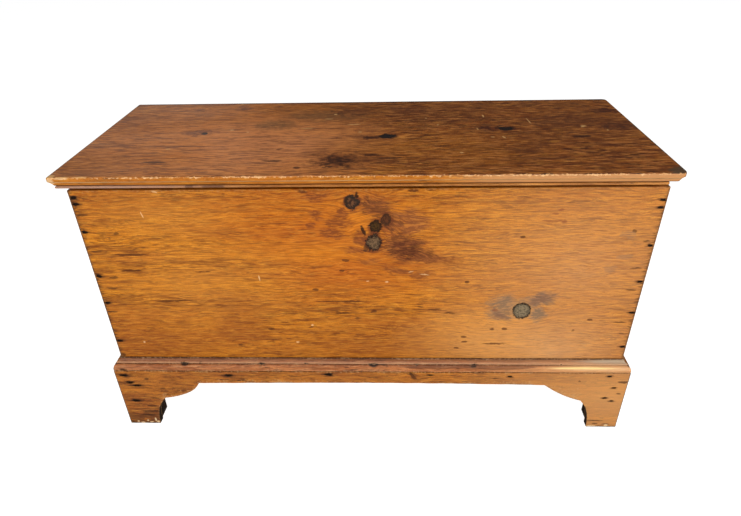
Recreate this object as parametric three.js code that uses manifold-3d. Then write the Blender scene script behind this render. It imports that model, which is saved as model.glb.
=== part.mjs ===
// A nailed pine blanket chest: six boards, an applied bracket plinth with a base moulding,
// and a lid with a moulded edge that turns on two iron butt hinges.
//
// Millimetres, +Z up, +X to the right seen from the front, and the front faces -Y.
// The pieces are drawn round the middle of the case. The lid hangs a little to the left of it, so the
// whole group is moved across until the middle of its overall width stands over the origin.

import * as THREE from 'three';
import { mergeVertices } from 'three/addons/utils/BufferGeometryUtils.js';
import Module from 'manifold-3d';

const wasm = await Module();
wasm.setup();

// Overall sizes
const totalHeight = 676;
const caseWidth = 1180;
const caseDepth = 440;
const lidThickness = 20;
const frontOverhang = 20;
const rearOverhang = 20;
const leftOverhang = 22;
const rightOverhang = 17;

// Case boards
const boardThickness = 20;
const caseBottom = 150;
const frontShrinkage = 15.7;
const bottomThickness = 18;
const ledgerHeight = 20;
const ledgerWidth = 18;
const ledgerLift = 1;

// Plinth, brackets and feet
const plinthTop = 178;
const plinthThickness = 18;
const apronHeight = 143;
const footWidthAtFloor = 73;
const footWidthAtTip = 104;
const footTipHeight = 89;
const bracketReach = 196;
const footSwellHeight = 60;
const bracketSwellReach = 150;
const bracketSwellHeight = 101;
const leftBracketExtra = 3.5;
const leftSwellExtra = 30;
const rightBracketExtra = -3;
const apronSag = 4;
const rearFootWidth = 105;
const rearFootWidthAtFloor = 70;
const blockSize = 36;
const blockLift = 3;
const frontBlockWidth = 54;

// Base moulding: heights above its own foot and projections from the case
const mouldingHeight = 29;
const mouldingFootProud = 17.6;
const torusProud = 16.6;
const torusTop = 14.5;
const quirkProud = 8;
const quirkTop = 16.8;
const filletProud = 9.6;
const filletTop = 20;
const mouldingTopProud = 2.4;

// Lid edge and the bead strip under it
const arrisRadius = 3.5;
const noseDepth = 9;
const coveInset = 8.5;
const beadHeight = 7;
const beadWidth = 10.5;
const beadQuirk = 1;
const beadStopFromCaseSide = 11;
const beadStopFromLidRear = 2;
const frontLeftCornerRadius = 4;
const frontRightCornerRadius = 15;
const rearRightCornerRadius = 12;
const rearLeftCornerRadius = 4;
const sharpCornerRadius = 0.5;

// Hinges
const hingeInset = 170;
const leafLength = 64;
const leafWidth = 19;
const leafThickness = 2;
const barrelRadius = 3.5;
const barrelBehindCase = 4;
const pinRadius = 1.75;
const pinTail = 1;
const barrelRoom = 0.6;
const knuckleCount = 5;
const leafScrewCount = 3;
const screwSpacing = 22;
const screwHeadRadius = 3.6;
const screwRim = 0.3;
const screwHeadDepth = 2;
const screwShankRadius = 1.9;
const screwLength = 15;

// Cut nails and brads
const nailHeadLong = 9;
const nailHeadShort = 3;
const nailTipShare = 0.35;
const caseNailLength = 45;
const plinthNailLength = 34;
const ledgerNailLength = 32;
const bottomNailLength = 34;
const bradHeadLong = 4;
const bradHeadShort = 2;
const mouldingBradLength = 24;
const beadBradLength = 16;
const nailSet = 0.6;
const nailInset = 9;

// Clearance between pieces that touch, and how far a cut runs past a face
const seat = 0.3;
const overrun = 2;

// Counts of segments on round stretches
const cornerSegments = 6;
const arrisSegments = 4;
const curveSegments = 7;
const roundSegments = 20;
const screwSegments = 12;

// Places that follow from the sizes above
const halfCase = caseWidth / 2;
const frontFace = -caseDepth / 2;
const backFace = caseDepth / 2;
const lidUnderside = totalHeight - lidThickness;
const caseTop = lidUnderside - seat;
const frontBoardTop = caseTop - frontShrinkage;
const lidLeft = -halfCase - leftOverhang;
const lidRight = halfCase + rightOverhang;
const lidFront = frontFace - frontOverhang;
const lidRear = backFace + rearOverhang;
const innerHalfWidth = halfCase - boardThickness - seat;
const innerHalfDepth = caseDepth / 2 - boardThickness - seat;
const ledgerBottom = caseBottom + ledgerLift;
const bottomBoardUnderside = ledgerBottom + ledgerHeight + seat;
const bottomBoardTop = bottomBoardUnderside + bottomThickness;
const plinthProud = seat + plinthThickness;
const plinthHalfWidth = halfCase + plinthProud;
const mouldingFoot = plinthTop + seat;
const mitreGap = seat * Math.SQRT2;
const underCase = caseBottom - seat;
const hingeAxisHeight = lidUnderside - seat / 2;
const hingeAxisY = backFace + barrelBehindCase;
const hingePlaces = { left: hingeInset - halfCase, right: halfCase - hingeInset };
const leafFrontEdge = hingeAxisY - barrelRadius - leafWidth;

// Directions that a run of timber or a nail can take
const axes = {
  right: new THREE.Vector3(1, 0, 0),
  left: new THREE.Vector3(-1, 0, 0),
  back: new THREE.Vector3(0, 1, 0),
  front: new THREE.Vector3(0, -1, 0),
  up: new THREE.Vector3(0, 0, 1),
  down: new THREE.Vector3(0, 0, -1),
};

// Finishes
const finishes = {
  frontPine: { color: 0xb8742c, roughness: 0.35 },
  endPine: { color: 0xa8682a, roughness: 0.38 },
  lidPine: { color: 0x7d4118, roughness: 0.3 },
  plinthPine: { color: 0xa4601f, roughness: 0.36 },
  barePine: { color: 0xb08a5c, roughness: 0.8 },
  iron: { color: 0x2a2622, roughness: 0.6, metalness: 0.7 },
};

const chest = new THREE.Group();
chest.position.x = -(Math.min(lidLeft, -plinthHalfWidth) + Math.max(lidRight, plinthHalfWidth)) / 2;

function addPiece(name, solid, finish) {
  const mesh = new THREE.Mesh(geometryOf(solid), new THREE.MeshStandardMaterial(finish));
  mesh.name = name;
  chest.add(mesh);
}

// Solids to join or cut, and back to a geometry
function solidOf(geometry) {
  const bare = geometry.clone();
  bare.deleteAttribute('normal');
  bare.deleteAttribute('uv');
  const welded = mergeVertices(bare);
  return new wasm.Manifold(new wasm.Mesh({
    numProp: 3,
    vertProperties: new Float32Array(welded.attributes.position.array),
    triVerts: new Uint32Array(welded.index.array),
  }));
}

function geometryOf(solid) {
  const mesh = solid.getMesh();
  const geometry = new THREE.BufferGeometry();
  geometry.setAttribute('position', new THREE.BufferAttribute(new Float32Array(mesh.vertProperties), 3));
  geometry.setIndex(new THREE.BufferAttribute(new Uint32Array(mesh.triVerts), 1));
  geometry.computeVertexNormals();
  return geometry;
}

function joined(solids) {
  return solids.reduce((whole, next) => whole.add(next));
}

function cut(solid, ...tools) {
  return tools.reduce((rest, tool) => rest.subtract(tool), solid);
}

// A board between two opposite corners
function board(low, high) {
  const size = new THREE.Vector3(...high).sub(new THREE.Vector3(...low));
  const middle = new THREE.Vector3(...high).add(new THREE.Vector3(...low)).multiplyScalar(1 / 2);
  const geometry = new THREE.BoxGeometry(size.x, size.y, size.z);
  geometry.translate(middle.x, middle.y, middle.z);
  return solidOf(geometry);
}

// Turns a geometry drawn along x, y and z so that they run along three named directions
function placed(geometry, alongX, alongY, alongZ, origin) {
  const turn = new THREE.Matrix4().makeBasis(axes[alongX], axes[alongY], axes[alongZ]);
  turn.setPosition(...origin);
  return geometry.applyMatrix4(turn);
}

// A nail is a wedge: its head is a long slot, and two of its sides taper to the tip.
// The long side of the head lies along the first of its three directions, and it is driven along the last.
const nailTurns = {
  back: ['right', 'down', 'back'],
  front: ['right', 'up', 'front'],
  right: ['back', 'up', 'right'],
  left: ['front', 'up', 'left'],
  down: ['right', 'front', 'down'],
  up: ['right', 'back', 'up'],
};

function wedge(long, short, length, clearance, headroom) {
  const depth = length + clearance + headroom;
  const geometry = new THREE.BoxGeometry(long + 2 * clearance, short + 2 * clearance, depth);
  geometry.translate(0, 0, depth / 2 - headroom);
  const points = geometry.attributes.position;
  const tipHalfWidth = (long * nailTipShare) / 2 + clearance;
  for (let i = 0; i < points.count; i++) {
    if (points.getZ(i) > 0) points.setX(i, Math.sign(points.getX(i)) * tipHalfWidth);
  }
  return geometry;
}

function nails(places, into, length, long = nailHeadLong, short = nailHeadShort) {
  const [alongX, alongY, alongZ] = nailTurns[into];
  const driven = (place, clearance, headroom) => {
    const geometry = wedge(long, short, length, clearance, headroom);
    const head = new THREE.Vector3(...place).addScaledVector(axes[into], nailSet);
    return solidOf(placed(geometry, alongX, alongY, alongZ, head.toArray()));
  };
  return {
    each: places.map((place) => driven(place, 0, 0)),
    holes: joined(places.map((place) => driven(place, seat, nailSet + overrun))),
  };
}

// Nails through the front board into the ends, set by eye, so each side has its own spacing
const leftCornerShares = [0.967, 0.939, 0.806, 0.585, 0.44, 0.216];
const rightCornerShares = [0.944, 0.911, 0.735, 0.552, 0.387, 0.188];
const backCornerShares = [0.93, 0.72, 0.5, 0.3, 0.16];

function cornerNails(face, top, into, side, shares) {
  const x = side * (halfCase - nailInset);
  const places = shares.map((share) => [x, face, caseBottom + share * (top - caseBottom)]);
  return nails(places, into, caseNailLength);
}

const frontNails = [
  cornerNails(frontFace, frontBoardTop, 'back', -1, leftCornerShares),
  cornerNails(frontFace, frontBoardTop, 'back', 1, rightCornerShares),
];
const backNails = [
  cornerNails(backFace, caseTop, 'front', -1, backCornerShares),
  cornerNails(backFace, caseTop, 'front', 1, backCornerShares),
];

// Nails through the plinth: shares of its half width and of its height. Those along the apron hold in the
// board behind it, and those in the feet reach the corner blocks.
const apronShares = [[-0.545, 0.93], [-0.153, 0.955], [0.24, 0.95], [0.545, 0.935], [0.922, 0.945]];
const frontFootShares = [
  [-0.965, 0.92], [-0.947, 0.787], [-0.925, 0.735], [-0.948, 0.45],
  [0.95, 0.742], [0.925, 0.55], [0.955, 0.5],
];
const sidePlinthShares = [[-0.9, 0.92], [-0.9, 0.6], [-0.1, 0.93], [0.82, 0.92], [0.82, 0.55]];

function frontPlinthNails(shares) {
  const face = frontFace - plinthProud;
  const places = shares.map(([along, up]) => [along * plinthHalfWidth, face, up * plinthTop]);
  return nails(places, 'back', plinthNailLength);
}

function sidePlinthNails(side, into) {
  const face = side * plinthHalfWidth;
  const places = sidePlinthShares.map(([along, up]) => [face, (along * caseDepth) / 2, up * plinthTop]);
  return nails(places, into, plinthNailLength);
}

const apronNails = frontPlinthNails(apronShares);
const frontFootNails = frontPlinthNails(frontFootShares);
const leftPlinthNails = sidePlinthNails(-1, 'right');
const rightPlinthNails = sidePlinthNails(1, 'left');

// Nails through the rear feet into their blocks
const rearFootShares = [0.3, 0.75];

function rearFootNails(side) {
  const x = side * (halfCase - blockSize / 2);
  return nails(rearFootShares.map((share) => [x, backFace, share * underCase]), 'front', plinthNailLength);
}

const footNails = [rearFootNails(-1), rearFootNails(1)];

// Brads through the quirk of the base moulding
const frontBradShares = [-0.735, -0.43, 0.02, 0.42, 0.76];
const sideBradShares = [-0.7, 0, 0.7];
const bradHeight = mouldingFoot + (torusTop + filletTop) / 2;

function mouldingBrads(into, shares, placeOf) {
  return nails(shares.map(placeOf), into, mouldingBradLength, bradHeadLong, bradHeadShort);
}

const frontBrads = mouldingBrads('back', frontBradShares,
  (share) => [share * halfCase, frontFace - filletProud, bradHeight]);
const leftBrads = mouldingBrads('right', sideBradShares,
  (share) => [-halfCase - filletProud, (share * caseDepth) / 2, bradHeight]);
const rightBrads = mouldingBrads('left', sideBradShares,
  (share) => [halfCase + filletProud, (share * caseDepth) / 2, bradHeight]);

// Nails down through the bottom boards into the ledgers, and from the ledgers into the case
const bottomNailShares = [-0.85, -0.3, 0.3, 0.85];
const ledgerNailShares = [-0.9, -0.4, 0.1, 0.6];
const endLedgerNailShares = [-0.7, 0.7];
const ledgerMiddle = ledgerBottom + ledgerHeight / 2;
const ledgerFace = innerHalfDepth - ledgerWidth;
const endLedgerFace = innerHalfWidth - ledgerWidth;

const bottomNails = nails([-1, 1].flatMap((side) => bottomNailShares.map((share) => [
  share * innerHalfWidth, side * (innerHalfDepth - ledgerWidth / 2), bottomBoardTop,
])), 'down', bottomNailLength);
const frontLedgerNails = nails(
  ledgerNailShares.map((share) => [share * innerHalfWidth, -ledgerFace, ledgerMiddle]),
  'front', ledgerNailLength);
const backLedgerNails = nails(
  ledgerNailShares.map((share) => [share * innerHalfWidth, ledgerFace, ledgerMiddle]),
  'back', ledgerNailLength);
const leftLedgerNails = nails(
  endLedgerNailShares.map((share) => [-endLedgerFace, share * ledgerFace, ledgerMiddle]),
  'left', ledgerNailLength);
const rightLedgerNails = nails(
  endLedgerNailShares.map((share) => [endLedgerFace, share * ledgerFace, ledgerMiddle]),
  'right', ledgerNailLength);

// Brads up through the bead strips into the lid
const frontBeadShares = [0.04, 0.23, 0.42, 0.61, 0.8, 0.97];
const leftBeadShares = [0.12, 0.5, 0.9];
const beadBottom = lidUnderside - seat - beadHeight;
const beadLeft = lidLeft + coveInset;
const beadFront = lidFront + coveInset;
const frontBeadEnd = halfCase - beadStopFromCaseSide;
const leftBeadEnd = lidRear - beadStopFromLidRear;

const beadBrads = nails([
  ...frontBeadShares.map((share) => [
    THREE.MathUtils.lerp(beadLeft, frontBeadEnd, share), beadFront + beadWidth / 2, beadBottom,
  ]),
  ...leftBeadShares.map((share) => [
    beadLeft + beadWidth / 2, THREE.MathUtils.lerp(beadFront, leftBeadEnd, share), beadBottom,
  ]),
], 'up', beadBradLength, bradHeadLong, bradHeadShort);

// A countersunk wood screw, drawn along +Z from the middle of its head
function screwShape(clearance, headroom) {
  const head = screwHeadRadius + clearance;
  const shank = screwShankRadius + clearance;
  const profile = [
    [0, -headroom], [head, -headroom], [head, screwRim], [shank, screwHeadDepth + clearance],
    [shank, screwLength - 2 * screwShankRadius], [0, screwLength + clearance],
  ];
  const points = profile.map((point) => new THREE.Vector2(...point));
  return new THREE.LatheGeometry(points, screwSegments).rotateX(Math.PI / 2);
}

function screwPlaces(x, z) {
  const y = (leafFrontEdge + hingeAxisY - barrelRadius) / 2;
  const first = x - ((leafScrewCount - 1) * screwSpacing) / 2;
  return Array.from({ length: leafScrewCount }, (_, i) => [first + i * screwSpacing, y, z]);
}

function screws(into, z) {
  const places = Object.values(hingePlaces).flatMap((x) => screwPlaces(x, z));
  const [alongX, alongY, alongZ] = nailTurns[into];
  const driven = (place, clearance, headroom) =>
    solidOf(placed(screwShape(clearance, headroom), alongX, alongY, alongZ, place));
  return {
    each: places.map((place) => driven(place, 0, 0)),
    holes: joined(places.map((place) => driven(place, seat, overrun))),
  };
}

const lowerScrews = screws('down', caseTop);
const upperScrews = screws('up', lidUnderside);

// Butt hinge: two leaves with alternate knuckles round one pin. The lower leaf is let into the top of the
// back board and the upper leaf into the lid.
const knuckleLength = leafLength / knuckleCount;
const pinRoom = pinRadius + seat;

function barrelPiece(x, from, to, radius) {
  const geometry = new THREE.CylinderGeometry(radius, radius, to - from, roundSegments);
  geometry.rotateZ(Math.PI / 2);
  geometry.translate(x + (from + to) / 2, hingeAxisY, hingeAxisHeight);
  return solidOf(geometry);
}

function hingeLeaf(x, isLower) {
  const low = isLower ? caseTop - leafThickness : lidUnderside;
  const half = leafLength / 2;
  const plateEnd = hingeAxisY - barrelRadius - seat;
  const parts = [board([x - half, leafFrontEdge, low], [x + half, plateEnd, low + leafThickness])];
  for (let i = isLower ? 0 : 1; i < knuckleCount; i += 2) {
    const from = -half + i * knuckleLength + (i === 0 ? 0 : seat / 2);
    const to = -half + (i + 1) * knuckleLength - (i === knuckleCount - 1 ? 0 : seat / 2);
    const tabEnd = hingeAxisY - (barrelRadius + pinRoom) / 2 + seat;
    parts.push(barrelPiece(x, from, to, barrelRadius));
    parts.push(board([x + from, plateEnd - overrun, low], [x + to, tabEnd, low + leafThickness]));
  }
  const bore = barrelPiece(x, -half - overrun, half + overrun, pinRoom);
  return cut(joined(parts), bore, isLower ? lowerScrews.holes : upperScrews.holes);
}

function hingePin(x) {
  return barrelPiece(x, -leafLength / 2 - pinTail, leafLength / 2 + pinTail, pinRadius);
}

// The recess for a leaf, and the hollow that lets the barrel turn
function hingeRecess(x, isLower) {
  const half = leafLength / 2 + seat;
  const low = isLower ? caseTop - leafThickness - seat : lidUnderside - overrun;
  const high = isLower ? caseTop + overrun : lidUnderside + leafThickness + seat;
  const gain = board([x - half, leafFrontEdge - seat, low], [x + half, backFace + overrun, high]);
  const room = leafLength / 2 + pinTail + barrelRoom;
  const hollow = barrelPiece(x, -room, room, barrelRadius + barrelRoom);
  const neck = board([x - half, backFace - overrun, low], [x + half, hingeAxisY, high]);
  return isLower ? gain.add(hollow) : joined([gain, hollow, neck]);
}

const hingeXs = Object.values(hingePlaces);
const lowerRecesses = joined(hingeXs.map((x) => hingeRecess(x, true)));
const upperRecesses = joined(hingeXs.map((x) => hingeRecess(x, false)));

// The six boards of the case
function frontBoard() {
  return cut(
    board([-halfCase, frontFace, caseBottom], [halfCase, frontFace + boardThickness, frontBoardTop]),
    frontNails[0].holes, frontNails[1].holes, apronNails.holes, frontFootNails.holes, frontBrads.holes,
    frontLedgerNails.holes,
  );
}

function backBoard() {
  return cut(
    board([-halfCase, backFace - boardThickness, caseBottom], [halfCase, backFace, caseTop]),
    backNails[0].holes, backNails[1].holes, backLedgerNails.holes, lowerRecesses, lowerScrews.holes,
  );
}

function endBoard(side, holes) {
  const outer = side * halfCase;
  const inner = side * (halfCase - boardThickness);
  return cut(board(
    [Math.min(outer, inner), -innerHalfDepth, caseBottom],
    [Math.max(outer, inner), innerHalfDepth, caseTop],
  ), ...holes);
}

function bottomBoard(side) {
  const near = (side * seat) / 2;
  const far = side * innerHalfDepth;
  return cut(board(
    [-innerHalfWidth, Math.min(near, far), bottomBoardUnderside],
    [innerHalfWidth, Math.max(near, far), bottomBoardTop],
  ), bottomNails.holes);
}

addPiece('front_board', frontBoard(), finishes.frontPine);
addPiece('back_board', backBoard(), finishes.barePine);
addPiece('left_end_board', endBoard(-1, [
  frontNails[0].holes, backNails[0].holes, leftPlinthNails.holes, leftBrads.holes, leftLedgerNails.holes,
]), finishes.endPine);
addPiece('right_end_board', endBoard(1, [
  frontNails[1].holes, backNails[1].holes, rightPlinthNails.holes, rightBrads.holes, rightLedgerNails.holes,
]), finishes.endPine);
addPiece('bottom_board_front', bottomBoard(-1), finishes.barePine);
addPiece('bottom_board_back', bottomBoard(1), finishes.barePine);

// Ledgers inside the case carry the bottom boards
function longLedger(side, holes) {
  const outer = side * innerHalfDepth;
  const inner = side * ledgerFace;
  return cut(board(
    [-innerHalfWidth, Math.min(outer, inner), ledgerBottom],
    [innerHalfWidth, Math.max(outer, inner), ledgerBottom + ledgerHeight],
  ), bottomNails.holes, holes);
}

function endLedger(side, holes) {
  const outer = side * innerHalfWidth;
  const inner = side * endLedgerFace;
  const reach = ledgerFace - seat;
  return cut(board(
    [Math.min(outer, inner), -reach, ledgerBottom],
    [Math.max(outer, inner), reach, ledgerBottom + ledgerHeight],
  ), holes);
}

addPiece('front_ledger', longLedger(-1, frontLedgerNails.holes), finishes.barePine);
addPiece('back_ledger', longLedger(1, backLedgerNails.holes), finishes.barePine);
addPiece('left_ledger', endLedger(-1, leftLedgerNails.holes), finishes.barePine);
addPiece('right_ledger', endLedger(1, rightLedgerNails.holes), finishes.barePine);

// Bracket plinth. The outline is drawn along the run, from the floor up. A foot swells out to a tip, and
// the bracket rises from the tip in a lobe that meets the apron at a sharp corner. On the front the left
// bracket was sawn longer and fuller than the right one, and the apron a little higher in the middle.
function bracketOutline(length, nearExtra, nearSwellExtra, farExtra, sag) {
  const nearFoot = footWidthAtFloor + Math.max(nearExtra, 0);
  const farFoot = length - footWidthAtFloor - Math.max(farExtra, 0);
  const nearTip = footWidthAtTip + nearExtra;
  const farTip = length - footWidthAtTip - farExtra;
  const nearSwell = bracketSwellReach + nearExtra + nearSwellExtra;
  const farSwell = length - bracketSwellReach - farExtra;
  const nearReach = bracketReach + nearExtra;
  const farReach = length - bracketReach - farExtra;
  const apronEnd = apronHeight - sag;
  const shape = new THREE.Shape();
  shape.moveTo(0, plinthTop);
  shape.lineTo(0, 0);
  shape.lineTo(nearFoot, 0);
  shape.quadraticCurveTo(nearFoot, footSwellHeight, nearTip, footTipHeight);
  shape.quadraticCurveTo(nearSwell, bracketSwellHeight, nearReach, apronEnd);
  if (sag) shape.quadraticCurveTo((nearReach + farReach) / 2, apronHeight + sag, farReach, apronEnd);
  else shape.lineTo(farReach, apronEnd);
  shape.quadraticCurveTo(farSwell, bracketSwellHeight, farTip, footTipHeight);
  shape.quadraticCurveTo(farFoot, footSwellHeight, farFoot, 0);
  shape.lineTo(length, 0);
  shape.lineTo(length, plinthTop);
  return shape;
}

// Gives an end a mitre: its points move along the run by their distance from the back of the board
function plinthRun(length, mitreStart, mitreEnd, nearExtra = 0, nearSwellExtra = 0, farExtra = 0, sag = 0) {
  const outline = bracketOutline(length, nearExtra, nearSwellExtra, farExtra, sag);
  const geometry = new THREE.ExtrudeGeometry(outline, {
    depth: plinthThickness, bevelEnabled: false, curveSegments,
  });
  const points = geometry.attributes.position;
  const nearEnd = footWidthAtFloor / 2;
  for (let i = 0; i < points.count; i++) {
    const inward = plinthThickness - points.getZ(i);
    if (mitreStart && points.getX(i) < nearEnd) points.setX(i, inward);
    if (mitreEnd && points.getX(i) > length - nearEnd) points.setX(i, length - inward);
  }
  return geometry;
}

const sidePlinthLength = caseDepth + plinthProud - mitreGap;

function frontPlinth() {
  const length = 2 * plinthHalfWidth;
  const run = plinthRun(length, true, true, leftBracketExtra, leftSwellExtra, rightBracketExtra, apronSag);
  const origin = [-plinthHalfWidth, frontFace - seat, 0];
  return cut(solidOf(placed(run, 'right', 'up', 'front', origin)), apronNails.holes, frontFootNails.holes);
}

function leftPlinth() {
  const run = plinthRun(sidePlinthLength, false, true);
  const origin = [-halfCase - seat, backFace, 0];
  return cut(solidOf(placed(run, 'front', 'up', 'left', origin)), leftPlinthNails.holes);
}

function rightPlinth() {
  const run = plinthRun(sidePlinthLength, true, false);
  const origin = [halfCase + seat, backFace - sidePlinthLength, 0];
  return cut(solidOf(placed(run, 'back', 'up', 'right', origin)), rightPlinthNails.holes);
}

addPiece('front_plinth', frontPlinth(), finishes.plinthPine);
addPiece('left_plinth', leftPlinth(), finishes.plinthPine);
addPiece('right_plinth', rightPlinth(), finishes.plinthPine);

// Plain tapered feet under the back board, and a block in each corner
function rearFoot(side, nailHoles) {
  const shape = new THREE.Shape();
  shape.moveTo(0, 0);
  shape.lineTo(rearFootWidthAtFloor, 0);
  shape.lineTo(rearFootWidth, underCase);
  shape.lineTo(0, underCase);
  const geometry = new THREE.ExtrudeGeometry(shape, { depth: plinthThickness, bevelEnabled: false });
  const [along, out] = side < 0 ? ['right', 'front'] : ['left', 'back'];
  const start = side < 0 ? backFace : backFace - plinthThickness;
  return cut(solidOf(placed(geometry, along, 'up', out, [side * halfCase, start, 0])), nailHoles);
}

function cornerBlock(sideX, sideY, width, ...holes) {
  const outerX = sideX * halfCase;
  const innerX = outerX - sideX * width;
  const outerY = sideY < 0 ? frontFace : backFace - plinthThickness - seat;
  const innerY = outerY - sideY * blockSize;
  return cut(board(
    [Math.min(outerX, innerX), Math.min(outerY, innerY), blockLift],
    [Math.max(outerX, innerX), Math.max(outerY, innerY), underCase],
  ), ...holes);
}

addPiece('rear_left_foot', rearFoot(-1, footNails[0].holes), finishes.barePine);
addPiece('rear_right_foot', rearFoot(1, footNails[1].holes), finishes.barePine);

// The front blocks are as wide as the feet in front of them, whose brackets differ
for (const [side, sideX, sideNails, rearNails, bracketExtra] of [
  ['left', -1, leftPlinthNails, footNails[0], leftBracketExtra],
  ['right', 1, rightPlinthNails, footNails[1], rightBracketExtra],
]) {
  const frontWidth = frontBlockWidth + bracketExtra;
  const frontBlock = cornerBlock(sideX, -1, frontWidth, frontFootNails.holes, sideNails.holes);
  const rearBlock = cornerBlock(sideX, 1, blockSize, rearNails.holes, sideNails.holes);
  addPiece(`front_${side}_block`, frontBlock, finishes.barePine);
  addPiece(`rear_${side}_block`, rearBlock, finishes.barePine);
}

// Base moulding: a cove over a fillet, a quirk and a torus, standing on the plinth
function mouldingOutline() {
  const shape = new THREE.Shape();
  shape.moveTo(seat, 0);
  shape.lineTo(mouldingFootProud, 0);
  shape.quadraticCurveTo(mouldingFootProud, torusTop / 2, torusProud, torusTop / 2);
  shape.quadraticCurveTo(torusProud, torusTop, filletProud, torusTop);
  shape.lineTo(quirkProud, (torusTop + quirkTop) / 2);
  shape.lineTo(filletProud, quirkTop);
  shape.lineTo(filletProud, filletTop);
  shape.quadraticCurveTo(mouldingTopProud, filletTop, mouldingTopProud, mouldingHeight);
  shape.lineTo(seat, mouldingHeight);
  return shape;
}

// A strip drawn outwards and up and extruded along its run, with mitred or square ends
function stripRun(outline, length, mitreStart, mitreEnd) {
  const options = { depth: length, bevelEnabled: false, curveSegments };
  const geometry = new THREE.ExtrudeGeometry(outline, options);
  const points = geometry.attributes.position;
  for (let i = 0; i < points.count; i++) {
    const outward = points.getX(i);
    if (points.getZ(i) < length / 2) points.setZ(i, mitreStart ? -outward : 0);
    else points.setZ(i, mitreEnd ? length + outward : length);
  }
  return geometry;
}

function frontMoulding() {
  const run = stripRun(mouldingOutline(), caseWidth, true, true);
  const origin = [halfCase, frontFace, mouldingFoot];
  return cut(solidOf(placed(run, 'front', 'up', 'left', origin)), frontBrads.holes);
}

function leftMoulding() {
  const run = stripRun(mouldingOutline(), caseDepth - mitreGap, true, false);
  const origin = [-halfCase, frontFace + mitreGap, mouldingFoot];
  return cut(solidOf(placed(run, 'left', 'up', 'back', origin)), leftBrads.holes);
}

function rightMoulding() {
  const run = stripRun(mouldingOutline(), caseDepth - mitreGap, false, true);
  const origin = [halfCase, backFace, mouldingFoot];
  return cut(solidOf(placed(run, 'right', 'up', 'front', origin)), rightBrads.holes);
}

addPiece('front_base_moulding', frontMoulding(), finishes.plinthPine);
addPiece('left_base_moulding', leftMoulding(), finishes.plinthPine);
addPiece('right_base_moulding', rightMoulding(), finishes.plinthPine);

// Lid: rings of the same outline, drawn in on the front and the two ends by the inset of the moulded edge.
// The back edge is square. Each corner has its own wear.
function lidOutline(inset) {
  const corners = [
    [lidLeft + inset, lidFront + inset, frontLeftCornerRadius, 1, 1],
    [lidRight - inset, lidFront + inset, frontRightCornerRadius, -1, 1],
    [lidRight - inset, lidRear, rearRightCornerRadius, -1, -1],
    [lidLeft + inset, lidRear, rearLeftCornerRadius, 1, -1],
  ];
  return corners.flatMap(([x, y, wear, inX, inY], corner) => {
    const radius = Math.max(wear - inset, sharpCornerRadius);
    return Array.from({ length: cornerSegments + 1 }, (_, i) => {
      const angle = Math.PI + (corner + i / cornerSegments) * (Math.PI / 2);
      return [x + inX * radius + radius * Math.cos(angle), y + inY * radius + radius * Math.sin(angle)];
    });
  });
}

// The edge from the top arris down: how far in, and how far below the top
const coveShares = [[0, 0], [0.42, 0.28], [0.72, 0.6], [1, 1]];

function lidEdge() {
  const arris = Array.from({ length: arrisSegments + 1 }, (_, i) => {
    const angle = (i / arrisSegments) * (Math.PI / 2);
    return [arrisRadius * (1 - Math.sin(angle)), arrisRadius * (1 - Math.cos(angle))];
  });
  const cove = coveShares.map(([inward, down]) => [
    inward * coveInset, noseDepth + down * (lidThickness - noseDepth),
  ]);
  return [...arris, ...cove];
}

function loft(rings) {
  const count = rings[0].length;
  const positions = rings.flat(2);
  const index = [];
  for (let ring = 0; ring + 1 < rings.length; ring++) {
    for (let i = 0; i < count; i++) {
      const next = (i + 1) % count;
      const [a, b] = [ring * count + i, ring * count + next];
      const [c, d] = [a + count, b + count];
      index.push(a, c, d, a, d, b);
    }
  }
  const last = (rings.length - 1) * count;
  for (let i = 1; i + 1 < count; i++) {
    index.push(0, i, i + 1);
    index.push(last, last + i + 1, last + i);
  }
  const geometry = new THREE.BufferGeometry();
  geometry.setAttribute('position', new THREE.Float32BufferAttribute(positions, 3));
  geometry.setIndex(index);
  return geometry;
}

function lidBoard() {
  const rings = lidEdge().map(([inset, drop]) =>
    lidOutline(inset).map(([x, y]) => [x, y, totalHeight - drop]));
  return cut(solidOf(loft(rings)), upperRecesses, upperScrews.holes, beadBrads.holes);
}

addPiece('lid_board', lidBoard(), finishes.lidPine);

// Bead strips under the overhang. The front one stops short at the right, where the return is lost.
function beadOutline() {
  const shape = new THREE.Shape();
  const round = (beadHeight - beadQuirk) / 2;
  shape.moveTo(0, 0);
  shape.lineTo(beadWidth - round, 0);
  shape.absarc(beadWidth - round, round, round, -Math.PI / 2, Math.PI / 2, false);
  shape.lineTo(beadWidth - beadQuirk - round, beadHeight - beadQuirk);
  shape.lineTo(beadWidth - beadQuirk - round, beadHeight);
  shape.lineTo(0, beadHeight);
  return shape;
}

function frontBead() {
  const length = frontBeadEnd - beadLeft - beadWidth;
  const run = stripRun(beadOutline(), length, false, true);
  const origin = [frontBeadEnd, beadFront + beadWidth, beadBottom];
  return cut(solidOf(placed(run, 'front', 'up', 'left', origin)), beadBrads.holes);
}

function leftBead() {
  const start = beadFront + beadWidth + mitreGap;
  const run = stripRun(beadOutline(), leftBeadEnd - start, true, false);
  const origin = [beadLeft + beadWidth, start, beadBottom];
  return cut(solidOf(placed(run, 'left', 'up', 'back', origin)), beadBrads.holes);
}

addPiece('lid_front_bead', frontBead(), finishes.lidPine);
addPiece('lid_left_bead', leftBead(), finishes.lidPine);

// Hinges, their screws, and the nails that show on the front. The other nails and brads have only holes.
function addEach(name, solids) {
  solids.forEach((solid, i) => addPiece(`${name}_${i + 1}`, solid, finishes.iron));
}

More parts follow.
